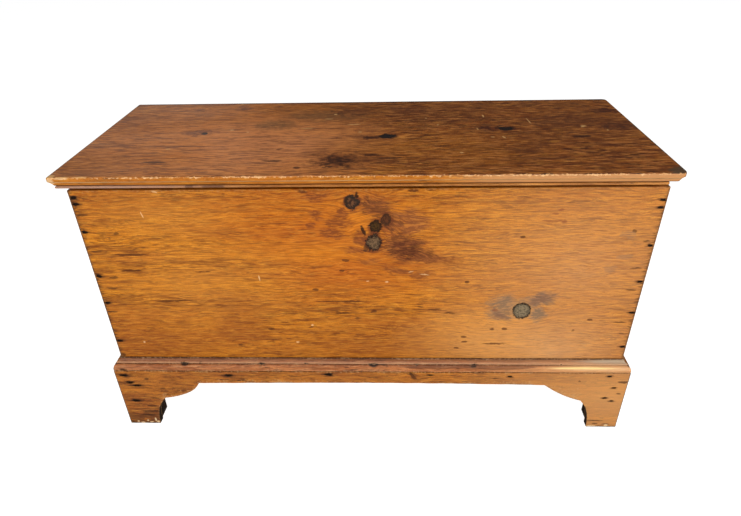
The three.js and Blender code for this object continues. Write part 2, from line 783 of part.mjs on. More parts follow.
Object.entries(hingePlaces).forEach(([side, x], hinge) => {
  const first = hinge * leafScrewCount;
  addPiece(`${side}_hinge_lower_leaf`, hingeLeaf(x, true), finishes.iron);
  addPiece(`${side}_hinge_upper_leaf`, hingeLeaf(x, false), finishes.iron);
  addPiece(`${side}_hinge_pin`, hingePin(x), finishes.iron);
  addEach(`${side}_hinge_lower_screw`, lowerScrews.each.slice(first, first + leafScrewCount));
  addEach(`${side}_hinge_upper_screw`, upperScrews.each.slice(first, first + leafScrewCount));
});
addEach('front_left_nail', frontNails[0].each);
addEach('front_right_nail', frontNails[1].each);
addEach('apron_nail', apronNails.each);

export default chest;
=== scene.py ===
# %% [markdown]
# An antique pine blanket chest: a nailed box with a hinged lid, a moulding round its foot and a scrolled
# plinth. The sizes, joints and every board come from the packed model, which is loaded here as a fixed
# frame. This script gives each board the look of old wood: rounded and worn arrises, knots, stains,
# scratches and shellac.

import math
from functools import partial

import bmesh
import bpy
from mathutils import Matrix, Vector, kdtree, noise


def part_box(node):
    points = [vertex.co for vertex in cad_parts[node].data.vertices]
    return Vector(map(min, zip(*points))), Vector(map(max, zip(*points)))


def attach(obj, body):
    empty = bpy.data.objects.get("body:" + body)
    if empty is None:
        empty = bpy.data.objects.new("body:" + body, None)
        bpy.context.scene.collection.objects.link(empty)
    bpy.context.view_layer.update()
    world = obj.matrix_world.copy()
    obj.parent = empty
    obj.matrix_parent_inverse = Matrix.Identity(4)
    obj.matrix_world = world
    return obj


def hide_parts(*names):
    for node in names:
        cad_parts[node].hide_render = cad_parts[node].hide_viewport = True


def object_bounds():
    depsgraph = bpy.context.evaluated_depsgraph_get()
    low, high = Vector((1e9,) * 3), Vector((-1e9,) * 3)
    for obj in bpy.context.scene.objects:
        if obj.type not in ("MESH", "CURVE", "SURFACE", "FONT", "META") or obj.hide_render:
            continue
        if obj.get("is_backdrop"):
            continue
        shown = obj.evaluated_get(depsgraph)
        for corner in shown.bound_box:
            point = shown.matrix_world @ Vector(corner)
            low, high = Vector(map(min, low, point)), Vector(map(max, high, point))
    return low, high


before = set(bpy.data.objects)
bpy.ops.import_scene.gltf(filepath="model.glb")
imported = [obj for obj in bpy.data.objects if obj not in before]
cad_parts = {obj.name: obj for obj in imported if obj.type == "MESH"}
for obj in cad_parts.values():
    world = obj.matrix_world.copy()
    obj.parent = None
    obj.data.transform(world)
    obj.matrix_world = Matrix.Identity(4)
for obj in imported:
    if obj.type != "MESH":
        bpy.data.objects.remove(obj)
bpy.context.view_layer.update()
MM = 0.001
print("nodes in the frame:", len(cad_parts))

# %% [markdown]
# The camera stands where the photographer stood: a little left of the middle, head high, looking down. Its
# place and turns were worked out from the straight edges of the chest, so no shift is needed.

# %% Camera
CAMERA_PLACE = Vector((0.0555, -1.2296, 1.1031))
CAMERA_DOWN, CAMERA_ASIDE, CAMERA_ROLL = math.radians(31.602), math.radians(-2.404), math.radians(1.381)
LENS, SENSOR = 27.52, 36.0


def camera_turn(down, aside, roll):
    """The camera's axes, right, up and back, from how far it looks down, looks aside and leans over."""
    forward = Vector((math.sin(aside) * math.cos(down), math.cos(aside) * math.cos(down), -math.sin(down)))
    right = Vector((math.cos(aside), -math.sin(aside), 0))
    below = forward.cross(right)
    leaning_right = math.cos(roll) * right + math.sin(roll) * below
    leaning_below = -math.sin(roll) * right + math.cos(roll) * below
    return Matrix((leaning_right, -leaning_below, -forward)).transposed().to_4x4()


camera = bpy.data.objects.new("camera", bpy.data.cameras.new("camera"))
camera.data.lens, camera.data.sensor_width = LENS, SENSOR
camera.matrix_world = Matrix.Translation(CAMERA_PLACE) @ camera_turn(CAMERA_DOWN, CAMERA_ASIDE, CAMERA_ROLL)
bpy.context.scene.collection.objects.link(camera)
bpy.context.scene.camera = camera
print("camera height:", CAMERA_PLACE.z)

# %% [markdown]
# Colours are written as sRGB hex values, the way a colour chart gives them, and shaders want linear light.
# One function turns the first into the second. One more adds a shader node: it takes the node's settings by
# name, and a dict of what feeds its sockets, which may be numbers, sockets or other nodes.

# %% Colours and nodes


def colour(hex_text):
    """An sRGB hex colour as linear red, green, blue and alpha."""
    channels = [int(hex_text[i:i + 2], 16) / 255 for i in (1, 3, 5)]
    return (*[c / 12.92 if c <= 0.04045 else ((c + 0.055) / 1.055) ** 2.4 for c in channels], 1.0)


def add(tree, kind, feeds=None, **settings):
    """Adds a node with its settings and links. A node given as a feed stands for its first live output."""
    node = tree.nodes.new("ShaderNode" + kind)
    for name, value in settings.items():
        setattr(node, name, value)
    for key, value in (feeds or {}).items():
        socket = node.inputs[key] if isinstance(key, int) else next(
            s for s in node.inputs if s.name == key and s.enabled)
        if isinstance(value, bpy.types.Node):
            value = next(s for s in value.outputs if s.enabled)
        if isinstance(value, bpy.types.NodeSocket):
            tree.links.new(value, socket)
        else:
            socket.default_value = value
    return node


def blank_material(name):
    """A new material and its tree of nodes, which is still empty."""
    material = bpy.data.materials.new(name)
    material.use_nodes = True
    material.node_tree.nodes.clear()
    return material, material.node_tree


print("a mid orange in linear light:", [round(c, 3) for c in colour("#c8782a")])

# %% [markdown]
# Old pine is a solid pattern, as the real wood is: rings round a pith that lies behind the board, drawn out
# along the grain, with fine fibres over them. Each board turns the object's own coordinates so that u runs
# with the grain, v across the face and w into the thickness. Then one recipe serves every board, the ends
# of a board show the ends of its fibres, and nothing slides when the chest is seen from elsewhere. A knot
# is an old branch. The rings flow round it, so the recipe bends v away from each knot. The year rings are
# about 4 mm apart. Real fibres are finer than the picture can show, so the thinnest threads here are about
# 2 mm wide, which is as thin as the picture can carry.

# %% Pine, the grain
RING, WANDER, RIPPLE = 4.2 * MM, 32 * MM, 16 * MM
BEND_REACH, BEND_STRETCH, BEND_STRENGTH = 3.0, 1.5, 0.9
ALL_THROUGH = 9.0


class Grain:
    """The bare wood of a board. Places and sizes are in millimetres."""

    def __init__(self, name, along, across, pith, seed, scale=1.0):
        self.material, self.tree = blank_material(name)
        self.add = partial(add, self.tree)
        self.pith, self.scale = pith, scale
        through = next(axis for axis in "XYZ" if axis not in (along, across))
        axes = self.add("SeparateXYZ", {0: self.add("TexCoord").outputs["Object"]})
        self.u, self.v = axes.outputs[along], axes.outputs[across]
        self.place = self.add("CombineXYZ", {0: self.u, 1: self.v, 2: axes.outputs[through]})
        self.shifted = self.add("VectorMath", {0: self.place, 1: (seed, seed * 0.7, seed * 0.3)},
                                operation="ADD")
        self.heights = []
        self.shaken = {}

    def streaks(self, length, width, detail=2.0, start=0.0, turn=0.0):
        """Noise drawn out along the grain: length and width of its features, and a turn in degrees."""
        place = self.shifted
        if turn:
            place = self.add("Mapping", {"Vector": place, "Rotation": (0, 0, math.radians(-turn))},
                             vector_type="POINT")
        along, across = 1 / (length * MM), 1 / (width * self.scale * MM)
        stretched = self.add("VectorMath", {0: place, 1: (along, across, across), 2: (start, start, start)},
                             operation="MULTIPLY_ADD")
        return self.add("TexNoise", {"Vector": stretched, "Scale": 1.0, "Detail": detail, "Roughness": 0.6})

    def fade(self, value, low, high):
        """How far a value has come from low to high, eased at both ends."""
        return self.add("MapRange", {"Value": value, "From Min": low, "From Max": high},
                        interpolation_type="SMOOTHSTEP")

    def lines(self, length, width, start, thickness):
        """Thin wandering lines, where a noise drawn out along the grain passes through its middle value."""
        noisy = self.streaks(length, width, 2.0, start)
        off_middle = self.add("Math", {0: noisy, 1: 0.5}, operation="SUBTRACT")
        distance = self.add("Math", {0: off_middle}, operation="ABSOLUTE")
        return self.fade(distance, thickness, 0.3 * thickness)

    def paint(self, mask, hex_text, strength):
        """Lays one colour over what is there, where the mask says."""
        share = self.add("Math", {0: mask, 1: strength}, operation="MULTIPLY")
        self.colour = self.add("Mix", {"Factor": share, "A": self.colour, "B": colour(hex_text)},
                               data_type="RGBA")

    def bend(self, knots):
        """Bends the grain round knots, each given as u, v, half length, half height."""
        for u, v, half_u, half_v in knots:
            reach_u, reach_v = half_u * BEND_REACH * BEND_STRETCH * MM, half_v * BEND_REACH * MM
            near = self.add("Mapping", {
                "Vector": self.place, "Location": (u * MM, v * MM, 0),
                "Scale": (reach_u, reach_v, ALL_THROUGH)}, vector_type="TEXTURE")
            pull = self.add("TexGradient", {"Vector": near}, gradient_type="SPHERICAL").outputs["Fac"]
            push = self.add("Math", {0: pull, 1: BEND_STRENGTH * reach_v}, operation="MULTIPLY")
            aside = self.add("VectorMath", {0: near, "Scale": push}, operation="SCALE")
            upright = self.add("VectorMath", {0: aside, 1: (0.0, 1.0, 0.0)}, operation="MULTIPLY")
            self.shifted = self.add("VectorMath", {0: self.shifted, 1: upright}, operation="SUBTRACT")

    def broken(self, mask, low, high):
        """A mask that shows here and there only, where the coarse grain is strong."""
        return self.add("Math", {0: mask, 1: self.fade(self.coarse, low, high)}, operation="MULTIPLY")

    def wood(self, pale, early, late, dark, line, contrast=1.0):
        """Rings, fibres, pores and broad changes of tone, from five colours."""
        ripple = self.add("Math", {0: self.streaks(110, 30, 1.0, 41.0), 1: RIPPLE, 2: -RIPPLE / 2},
                          operation="MULTIPLY_ADD")
        aside = self.add("CombineXYZ", {1: ripple, 2: ripple})
        self.shifted = self.add("VectorMath", {0: self.shifted, 1: aside}, operation="ADD")
        drift = self.streaks(620, 160, 1.0)
        pith = (0, self.pith[0] * MM, self.pith[1] * MM)
        centred = self.add("VectorMath", {0: self.shifted, 1: pith}, operation="SUBTRACT")
        flat = self.add("VectorMath", {0: centred, 1: (0, 1 / RING, 1 / RING)}, operation="MULTIPLY")
        radius = self.add("VectorMath", {0: flat}, operation="LENGTH").outputs["Value"]
        wavy = self.add("Math", {0: drift, 1: WANDER / RING, 2: radius}, operation="MULTIPLY_ADD")
        rings = self.fade(self.add("Math", {0: wavy}, operation="FRACT"), 0.3, 0.95)
        self.broad = self.streaks(300, 50, 3.0)
        self.coarse = self.streaks(130, 9.5, 3.0, 5.0)
        self.fine = self.streaks(42, 4.6, 3.0, 11.0)
        self.colour = self.add("Mix", {
            "Factor": self.fade(self.broad, 0.40, 0.62), "A": colour(early), "B": colour(late)},
            data_type="RGBA")
        self.paint(self.broken(rings, 0.38, 0.60), late, 0.60 * contrast)
        self.paint(self.fade(self.coarse, 0.50, 0.70), dark, 0.38 * contrast)
        self.paint(self.fade(self.streaks(40, 4.4, 3.0, 17.0), 0.54, 0.68), pale, 0.50 * contrast)
        self.paint(self.fade(self.fine, 0.50, 0.62), dark, 0.40 * contrast)
        year_lines = self.broken(self.lines(60, 6.2, 47.0, 0.040), 0.38, 0.56)
        self.paint(year_lines, line, 0.50 * contrast)
        patches = self.fade(self.streaks(160, 34, 1.0, 29.0), 0.36, 0.60)
        holes = self.fade(self.streaks(28, 3.7, 2.0, 23.0), 0.56, 0.66)
        pores = self.add("Math", {0: patches, 1: holes}, operation="MULTIPLY")
        self.paint(pores, line, 0.80 * contrast)
        self.threads(pale, dark, 0.28 * contrast)
        pits = self.add("TexNoise", {"Vector": self.place, "Scale": 360.0, "Detail": 2.0})
        self.paint(self.fade(pits, 0.54, 0.68), line, 0.30 * contrast)
        self.heights += [(rings, 0.3), (self.fine, 0.7), (pores, -0.5), (year_lines, -0.3)]

    def threads(self, pale, dark, strength, start=53.0):
        """The finest threads of the grain. Broad tones blur them, so a board may take more after those."""
        fibre = self.streaks(32, 1.9, 2.0, start)
        self.paint(self.fade(fibre, 0.49, 0.38), pale, 0.9 * strength)
        self.paint(self.fade(fibre, 0.52, 0.63), dark, strength)

    def hairlines(self, hex_text, strength):
        """Long dark hairlines along the grain, broken here and there, where the year rings come out."""
        self.paint(self.broken(self.lines(190, 7.5, 71.0, 0.045), 0.36, 0.54), hex_text, strength)


print("year rings, mm apart:", RING / MM)

# %% [markdown]
# The marks lie on top of the grain: soft changes of tone, resin stains, dashes of pitch, the black that
# nails bleed into the wood, nicks and knots. Each is painted through a mask of soft ellipses, given in
# millimetres, whose rim is shaken or broken up along the fibres, because nothing on old wood has a ruled
# outline.

# %% Pine, the marks


class Marks(Grain):
    """What age and use have left on a board."""

    def unsteady(self, scale, amount):
        """The board's coordinates shaken by noise, so that a mark has no ruled outline."""
        if (scale, amount) not in self.shaken:
            noisy = self.add("TexNoise", {"Vector": self.place, "Scale": scale, "Detail": 2.0})
            centred = self.add("VectorMath", {0: noisy.outputs["Color"], 1: (0.5, 0.5, 0.5)},
                               operation="SUBTRACT")
            away = self.add("VectorMath", {0: centred, "Scale": amount * MM}, operation="SCALE")
            self.shaken[scale, amount] = self.add("VectorMath", {0: self.place, 1: away}, operation="ADD")
        return self.shaken[scale, amount]

    def cover(self, spots, scale=0.0, amount=0):
        """One mask for several soft ellipses: u, v, half length, half height and a turn in degrees."""
        place, whole = self.unsteady(scale, amount) if amount else self.place, None
        for u, v, half_u, half_v, *turn in spots:
            near = self.add("Mapping", {
                "Vector": place, "Location": (u * MM, v * MM, 0),
                "Scale": (half_u * MM, half_v * MM, ALL_THROUGH),
                "Rotation": (0, 0, math.radians(turn[0] if turn else 0))}, vector_type="TEXTURE")
            spot = self.add("TexGradient", {"Vector": near}, gradient_type="SPHERICAL").outputs["Fac"]
            whole = spot if whole is None else self.add("Math", {0: whole, 1: spot}, operation="MAXIMUM")
        return whole

    def tone(self, spots, hex_text, strength):
        """A broad, soft change of tone."""
        self.paint(self.cover(spots), hex_text, strength)

    def band(self, low, high, soft=0.8, along=False):
        """A mask for a strip of the board, between two places across the grain or along it."""
        place = self.u if along else self.v
        above = self.fade(place, (low - soft) * MM, (low + soft) * MM)
        below = self.fade(place, (high + soft) * MM, (high - soft) * MM)
        return self.add("Math", {0: above, 1: below}, operation="MULTIPLY")

    def frayed(self, mask, fray=0.8, start=0.12, end=0.5, by=None):
        """A mask whose rim breaks up along the fine fibres, or along another pattern."""
        swing = self.add("MapRange", {"Value": by or self.fine, "From Min": 0.35, "From Max": 0.65,
                                      "To Min": 1 - fray, "To Max": 1 + fray})
        return self.fade(self.add("Math", {0: mask, 1: swing}, operation="MULTIPLY"), start, end)

    def stain(self, spots, soft_hex, fibre_hex, strength, turn=0.0):
        """A resinous stain: a soft, blotchy ground with short dark fibres in it, which may run askew."""
        ground = self.cover(spots, 28.0, 34)
        self.paint(self.frayed(ground, 0.35, 0.0, 0.85, by=self.coarse), soft_hex, strength * 1.25)
        fibres = self.streaks(15, 2.8, 3.0, 37.0 + turn, turn)
        self.paint(self.frayed(ground, 1.6, 0.25, 0.75, by=fibres), fibre_hex, strength * 1.2)

    def dashes(self, spots, hex_text, strength):
        """Short dark streaks where pitch or dirt sits in the grain."""
        self.paint(self.frayed(self.cover(spots, 90.0, 6), 0.5, 0.15, 0.55), hex_text, strength)

    def nails(self, spots, size=1.0):
        """Iron blackens the wood round a nail: a black lens along the grain, inside a brown blur."""
        wide = [(u, v, size * 21, size * 8) for u, v in spots]
        close = [(u, v, size * 11.5, size * 5.2) for u, v in spots]
        self.paint(self.frayed(self.cover(wide, 90.0, 6), 0.8, 0.10, 0.75), "#4e2812", 0.75)
        self.paint(self.frayed(self.cover(close, 90.0, 4), 0.4, 0.12, 0.50), "#150d08", 0.95)

    def scratches(self, spots, hex_text, strength):
        """Pale nicks where the shellac is scraped off."""
        self.paint(self.fade(self.cover(spots, 160.0, 3), 0.2, 0.6), hex_text, strength)

    def knot(self, u, v, half_u, half_v, core, heart, rim="#1d130c", halo="#6d3417", rim_share=0.26,
             ragged=10):
        """A dead knot: a dark bark ring round a core, with a halo of resin."""
        spot = self.cover([(u, v, 2 * half_u, 2 * half_v)], 70.0, ragged)
        shaken = self.unsteady(70.0, ragged)
        mottle = self.add("TexNoise", {"Vector": shaken, "Scale": 260.0, "Detail": 3.0})
        self.paint(self.frayed(spot, 0.35, 0.28, 0.52), halo, 0.7)
        fray = min(0.14, 0.02 * ragged)
        self.paint(self.frayed(spot, fray, 0.46, 0.53, by=mottle), rim, 0.95)
        inner = 1 - 0.5 * (1 - rim_share)
        whole = self.frayed(spot, fray + 0.04, inner - 0.04, inner + 0.04, by=mottle)
        self.paint(whole, core, 0.95)
        flecks = self.add("Math", {0: self.fade(spot, 0.5, 0.6), 1: self.fade(mottle, 0.46, 0.58)},
                          operation="MULTIPLY")
        self.paint(flecks, heart, 0.8)
        self.heights += [(self.fade(spot, 0.45, 0.55), -0.8), (whole, 0.9)]


print("kinds of mark:", [name for name in vars(Marks) if not name.startswith("_")])

# %% [markdown]
# Wear and shine come last. Bare wood shows where the arrises are rubbed through, and the shellac is a thin
# clear coat over all of it, duller in some places than in others.

# %% Pine, wear and shine


class Pine(Marks):
    """The whole recipe, which ends with the material."""

    def worn(self, hex_text, strength, start=0.45, end=0.85):
        """Bare, pale wood where the arrises are rubbed through, from the mesh's own wear attribute."""
        wear = self.add("Attribute", attribute_name="wear").outputs["Fac"]
        ragged = self.add("TexNoise", {"Vector": self.place, "Scale": 190.0, "Detail": 3.0})
        spread = self.add("MapRange", {"Value": ragged, "From Min": 0.3, "From Max": 0.7,
                                       "To Min": -0.45, "To Max": 0.45})
        edge = self.add("Math", {0: wear, 1: spread}, operation="ADD")
        self.paint(self.fade(edge, start, end), hex_text, strength)

    def finish(self, roughness=0.38, coat=0.10, bump=0.35, specular=0.3):
        """The principled shader: shellac is a clear coat over wood that has a soft shine of its own."""
        height = None
        for part, weight in self.heights:
            lifted = self.add("Math", {0: part, 1: weight}, operation="MULTIPLY")
            height = lifted if height is None else self.add("Math", {0: height, 1: lifted}, operation="ADD")
        relief = self.add("Bump", {"Height": height, "Strength": bump, "Distance": 0.0006})
        dull = self.add("MapRange", {"Value": self.broad, "From Min": 0.3, "From Max": 0.7,
                                     "To Min": roughness - 0.06, "To Max": roughness + 0.08})
        shader = self.add("BsdfPrincipled", {
            "Base Color": self.colour, "Roughness": dull, "Normal": relief, "Coat Weight": coat,
            "Coat Roughness": 0.28, "Specular IOR Level": specular})
        self.add("OutputMaterial", {"Surface": shader})
        return self.material


print("the recipe ends with:", [name for name in vars(Pine) if not name.startswith("_")])

# %% [markdown]
# The front is one wide board of honey-orange pine under shellac. It is paler to the right, partly faded and
# partly a painted reflection of light in the shellac, with a painted sheen low on the right. Dirt has
# darkened it along its two ends, and a thin dark line on each end's arris is painted shade. The wood comes
# first, from five colours, and then the broad changes of tone. Everything is placed in millimetres on the
# board: u along it, v up it.

# %% Front board, the wood
FRONT_MIDDLE = 1.85
front_pine = Pine("front_board_shellacked_pine", "X", "Z", pith=(330, -60), seed=0.0)
front_pine.bend([(-22, 610, 14, 16), (33, 560, 20, 16), (20, 518, 15, 19), (343, 344, 20, 21)])
front_pine.wood("#e69e2c", "#d07c0c", "#b86508", "#844206", "#4d2205")
front_pine.tone([(-100, 560, 300, 120), (-20, 450, 260, 100)], "#bc5a00", 0.7)
front_pine.tone([(-9, 573, 60, 45), (64, 581, 36, 36), (-100, 500, 140, 50)], "#d87c0a", 0.5)
front_pine.hairlines("#6b340a", 0.60)
# Paler to the right, partly faded and partly a painted reflection; the two smaller tones low on the right are
# a painted sheen.
front_pine.tone([(450, 450, 360, 340)], "#cc9058", 0.70)
front_pine.tone([(420, 220, 240, 140)], "#d49e68", 0.7)
front_pine.tone([(240, 250, 200, 120)], "#e8a454", 0.7)
front_pine.tone([(-360, 420, 260, 160), (-400, 580, 200, 90)], "#d88c30", 0.4)
front_pine.tone([(-500, 220, 340, 160), (-290, 300, 100, 100), (20, 230, 380, 120)], "#8c440c", 0.56)
front_pine.paint(front_pine.frayed(front_pine.cover([
    (-540, 500, 200, 30), (-520, 455, 180, 30), (-500, 370, 200, 30), (-300, 470, 200, 20),
    (-360, 362, 300, 14), (-50, 345, 200, 20)]), 1.3, 0.2, 1.0), "#6d340c", 0.5)
front_pine.threads("#ec9a30", "#7c3e0c", 0.30, 61.0)
to_the_ends = front_pine.add("Math", {0: front_pine.u, 1: FRONT_MIDDLE * MM}, operation="SUBTRACT")
from_middle = front_pine.add("Math", {0: to_the_ends}, operation="ABSOLUTE")
# Dirt darkens both ends; the thin dark line on each end's arris below is painted shade.
front_pine.paint(
    front_pine.frayed(front_pine.fade(from_middle, 568 * MM, 597 * MM), 1.2, 0.30, 1.1), "#4d2a14", 0.6)
front_pine.paint(front_pine.fade(from_middle, 584.5 * MM, 588.5 * MM), "#3c2618", 0.7)
print("colour nodes on the front so far:", len(front_pine.tree.nodes))

# %% [markdown]
# Two groups of knots mark the front. Three dark ones sit high up near the middle, with red-brown figure
# that fans out from them on both sides. A grey dead knot sits low on the right, with a thin black crack
# round it and a grey blur beside it. The figure is fibres seen end on, so its short dark lines run askew to
# the board.

# %% Front board, the figure round the knots
front_pine.stain([
    (27, 597, 50, 34, -25), (60, 566, 28, 38), (80, 508, 66, 48, -12), (116, 489, 60, 28, -12)],
    "#8f4f26", "#4c2410", 0.52, -14)
front_pine.stain([(88, 498, 46, 30, -10)], "#6b3214", "#3c1a0a", 0.45, -12)
front_pine.stain([
    (80, 449, 60, 14, -8), (118, 441, 44, 13, -10), (158, 474, 60, 16, -6), (10, 474, 34, 12)],
    "#a05a24", "#6b3412", 0.42, -8)
front_pine.stain([(104, 573, 48, 32, -8), (98, 549, 50, 18, 8)], "#aa6632", "#6b3416", 0.46, -7)
front_pine.stain([
    (-39, 586, 20, 26), (-49, 564, 42, 17), (-63, 541, 36, 14), (-6, 531, 20, 26), (-19, 497, 32, 14),
    (-94, 624, 40, 14), (-100, 586, 18, 14), (-88, 570, 22, 10), (-106, 556, 16, 9)],
    "#9c541e", "#642b10", 0.5)
front_pine.stain([
    (302, 362, 50, 36), (298, 334, 44, 26), (330, 352, 34, 30), (372, 368, 60, 28, 14), (376, 332, 34, 22)],
    "#96785a", "#705c48", 0.50)
front_pine.stain([(384, 375, 50, 20, 14), (300, 330, 26, 16)], "#94664a", "#74503a", 0.40, 12)
front_pine.knot(-22, 610, 14.5, 17, "#74492c", "#1c1610", rim="#2f261c", rim_share=0.42, ragged=18)
front_pine.knot(25, 557, 13, 15, "#51340f", "#241708", rim="#2b1a0c", rim_share=0.30, ragged=8)
front_pine.knot(46, 572, 11, 13, "#623417", "#38200f", rim="#4e2c13", rim_share=0.30, ragged=12)
front_pine.knot(20, 518, 15.5, 20, "#7a5c3e", "#44321f", rim="#231811", rim_share=0.26, ragged=14)
front_pine.knot(
    343, 344, 20, 22, "#8a7759", "#574a38", rim="#0e0a07", rim_share=0.18, halo="#b8834e", ragged=4)
print("colour nodes on the front so far:", len(front_pine.tree.nodes))

# %% [markdown]
# The marks of use come last: black dashes of pitch and dirt in the grain, the black lenses that the nails
# have bled into the wood along both ends, and a few pale nicks.

# %% Front board, the marks
front_pine.dashes([
    (-497, 490, 60, 3.6), (-502, 451, 44, 3.6), (-348, 447, 30, 4), (-445, 370, 24, 4), (-415, 371, 60, 3),
    (-52, 369, 84, 3), (-51, 337, 31, 4), (18, 342, 10, 5), (-17, 322, 12, 4.6), (-39, 476, 12, 4.4),
    (-48, 450, 9, 4.6), (-108, 401, 10, 5), (-216, 291, 12, 5), (-293, 244, 13, 5), (290, 250, 56, 3.2),
    (221, 270, 9, 5), (223, 255, 10, 4.6), (206, 237, 9, 4), (152, 347, 22, 4.2), (187, 338, 20, 4),
    (218, 420, 7, 5), (324, 531, 7, 4), (283, 293, 9, 5), (311, 293, 9, 5), (496, 319, 9, 4.6),
    (463, 290, 6, 5), (218, 421, 7, 5), (100, 636, 16, 4), (-118, 634, 14, 5)], "#4a210b", 0.75)
front_pine.dashes([
    (-513, 542, 8, 4.8), (-531, 529, 6, 5), (-546, 433, 13, 5.2), (-580, 212, 7, 6), (544, 544, 6, 6),
    (-566, 500, 18, 4), (-560, 405, 20, 3.6), (-574, 340, 16, 3.4), (-571, 585, 16, 3.4),
    (568, 400, 16, 3.6), (562, 312, 20, 3.4), (572, 280, 14, 3.4), (566, 455, 18, 3.4),
    (574, 520, 12, 3.4)], "#3b2010", 0.6)
front_pine.dashes([
    (382, 584, 11, 4), (392, 592, 8, 3.6), (380, 567, 34, 4), (401, 565, 8, 6, 30), (285, 346, 10, 5)],
    "#8a4a2c", 0.6)
front_pine.dashes([(-1, 548, 6, 16, 20), (-11, 627, 7, 9)], "#21130a", 0.9)
front_pine.dashes([(4, 506, 8, 12, -30), (-34, 614, 6, 12)], "#3a2414", 0.7)
front_pine.paint(front_pine.frayed(front_pine.cover([
    (533, 534, 22, 12), (537, 482, 22, 12), (513, 454, 18, 13)], 90.0, 14)), "#8a6a50", 0.35)
front_pine.scratches([
    (-228, 431, 2.2, 12, 8), (-160, 253, 6, 3), (-122, 303, 5, 4), (47, 421, 6, 2.6), (6, 423, 5, 2.6),
    (-449, 585, 2, 12, 10), (-521, 252, 4, 4), (-412, 636, 9, 3, -20), (127, 440, 16, 1.8, -8),
    (98, 447, 9, 1.8, 20)], "#f0c68c", 0.6)


def nail_middles(start):
    """Where the heads of the nails whose names start so come out, along the front and up it."""
    boxes = [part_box(name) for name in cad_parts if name.startswith(start) and "_nail_" in name]
    return [((low.x + high.x) / 2 / MM, (low.z + high.z) / 2 / MM) for low, high in boxes]


corner_nails = nail_middles("front_")
front_pine.nails([spot for spot in corner_nails if spot[0] < 0])
front_pine.nails([spot for spot in corner_nails if spot[0] > 0], 0.8)
front_pine.worn("#c98c4c", 0.4)
front_board_finish = front_pine.finish(specular=0.2)
print("nodes in the front's finish:", len(front_pine.tree.nodes))

# %% [markdown]
# The lid took the most light, heat and spills. Its shellac has gone a deep red-brown, paler at the left and
# darkest at the right end, over two black knots, a round dark stain near the front edge, old cracks and pale
# nicks. A pink painted sheen lies over its left half and middle. Here u runs along the lid and v from the
# front to the back.

# %% Lid board
lid_pine = Pine("lid_shellacked_pine", "X", "Y", pith=(50, 500), seed=2.3, scale=2.5)
lid_pine.bend([(46, -24, 22, 16), (314, 20, 18, 16), (-367, 5, 10, 11)])
lid_pine.wood("#d08a36", "#ac621c", "#8e4a12", "#552508", "#2f1105", 1.3)
# Paler wood at the left, with a pink painted sheen over it and towards the middle.
lid_pine.tone([(-360, -20, 460, 460)], "#e08430", 0.72)
lid_pine.tone([(-150, -70, 240, 260)], "#e09464", 0.5)
lid_pine.tone([(240, -120, 160, 160), (-574, -190, 160, 80), (50, -100, 200, 90)], "#9c5a10", 0.6)
lid_pine.tone([(500, 0, 360, 420), (150, 160, 440, 140)], "#5c2c0a", 0.6)
lid_pine.threads("#d88c4a", "#4c200c", 0.46, 61.0)
lid_pine.hairlines("#48200c", 0.36)
lid_pine.stain([(-214, 65, 70, 60), (-100, 130, 140, 70)], "#7d5a34", "#4f3418", 0.30)
lid_pine.stain([(-40, -160, 110, 70)], "#6b3412", "#45200b", 0.40)
lid_pine.stain([(-49, -168, 54, 56)], "#401d0a", "#241006", 0.55)
lid_pine.stain([
    (281, 24, 60, 32), (568, 29, 60, 38), (570, 140, 40, 26), (20, -28, 60, 18)], "#5e2d13", "#30120a", 0.5)
lid_pine.stain([(380, -87, 36, 26), (336, -114, 70, 22), (460, 70, 130, 60)], "#6a3614", "#3c1a0a", 0.30)
lid_pine.stain([
    (-45, 155, 70, 50), (-386, 8, 50, 30), (-313, 190, 30, 26), (-426, 189, 22, 18), (100, 170, 90, 40)],
    "#70391a", "#45200d", 0.36)
lid_pine.dashes([
    (-423, -166, 34, 8), (-184, -163, 30, 7), (48, -152, 44, 9), (-128, -200, 12, 9),
    (-178, -96, 12, 8, 35), (470, -34, 34, 12), (347, -238, 16, 8), (20, -135, 30, 8), (10, -30, 16, 10)],
    "#2c120a", 0.75)
lid_pine.dashes([
    (-418, -76, 164, 7), (-467, -24, 91, 7), (200, 100, 140, 7), (40, 80, 100, 7), (-240, -20, 50, 6),
    (130, -60, 50, 6), (350, -160, 80, 7), (-100, 30, 90, 6)], "#4a220e", 0.45)
lid_pine.knot(49, -24, 21, 12, "#2a1c18", "#110d0d", halo="#3f1c0d", rim_share=0.3, ragged=22)
lid_pine.knot(316, 20, 16, 12, "#2a1a12", "#120b08", halo="#3f1c0d", rim_share=0.3, ragged=20)
lid_pine.knot(-367, 5, 9, 8, "#3a281c", "#1d130d", halo="#4d2712", rim_share=0.3)
lid_pine.scratches([
    (-30, 59, 24, 3.6), (-136, 35, 24, 3.6), (-92, 102, 18, 3.6), (-79, 137, 7, 6), (-13, 6, 7, 5),
    (277, 112, 3, 16, 6), (302, -37, 4, 12, 20), (278, -35, 7, 4), (492, 32, 11, 6), (537, 3, 4, 5),
    (-420, -90, 9, 4), (377, 71, 2.2, 34, 5), (488, 26, 8, 4, 30), (201, -126, 6, 5), (-330, 231, 8, 6),
    (-310, 28, 8, 5), (-270, 12, 5, 4), (252, 18, 3, 8, 15), (165, 50, 5, 4), (140, 100, 4, 4),
    (-603, -234, 14, 14), (-578, -238, 20, 5), (-540, -238, 18, 4)], "#dcab6c", 0.75)
lid_pine.paint(lid_pine.frayed(lid_pine.band(233, 300, 3)), "#3b1a0c", 0.7)
lid_pine.paint(lid_pine.frayed(lid_pine.cover([(604, -232, 40, 40), (611, -50, 10, 240)])), "#473c2b", 0.8)
# A thin dark line along the left end's arris: painted shade.
lid_pine.paint(lid_pine.band(-620, -606, 2.5, along=True), "#3b2216", 0.6)
lid_pine.worn("#dfa76a", 0.85, 0.54, 0.92)
lid_finish = lid_pine.finish(0.40)
print("nodes in the lid's finish:", len(lid_pine.tree.nodes))
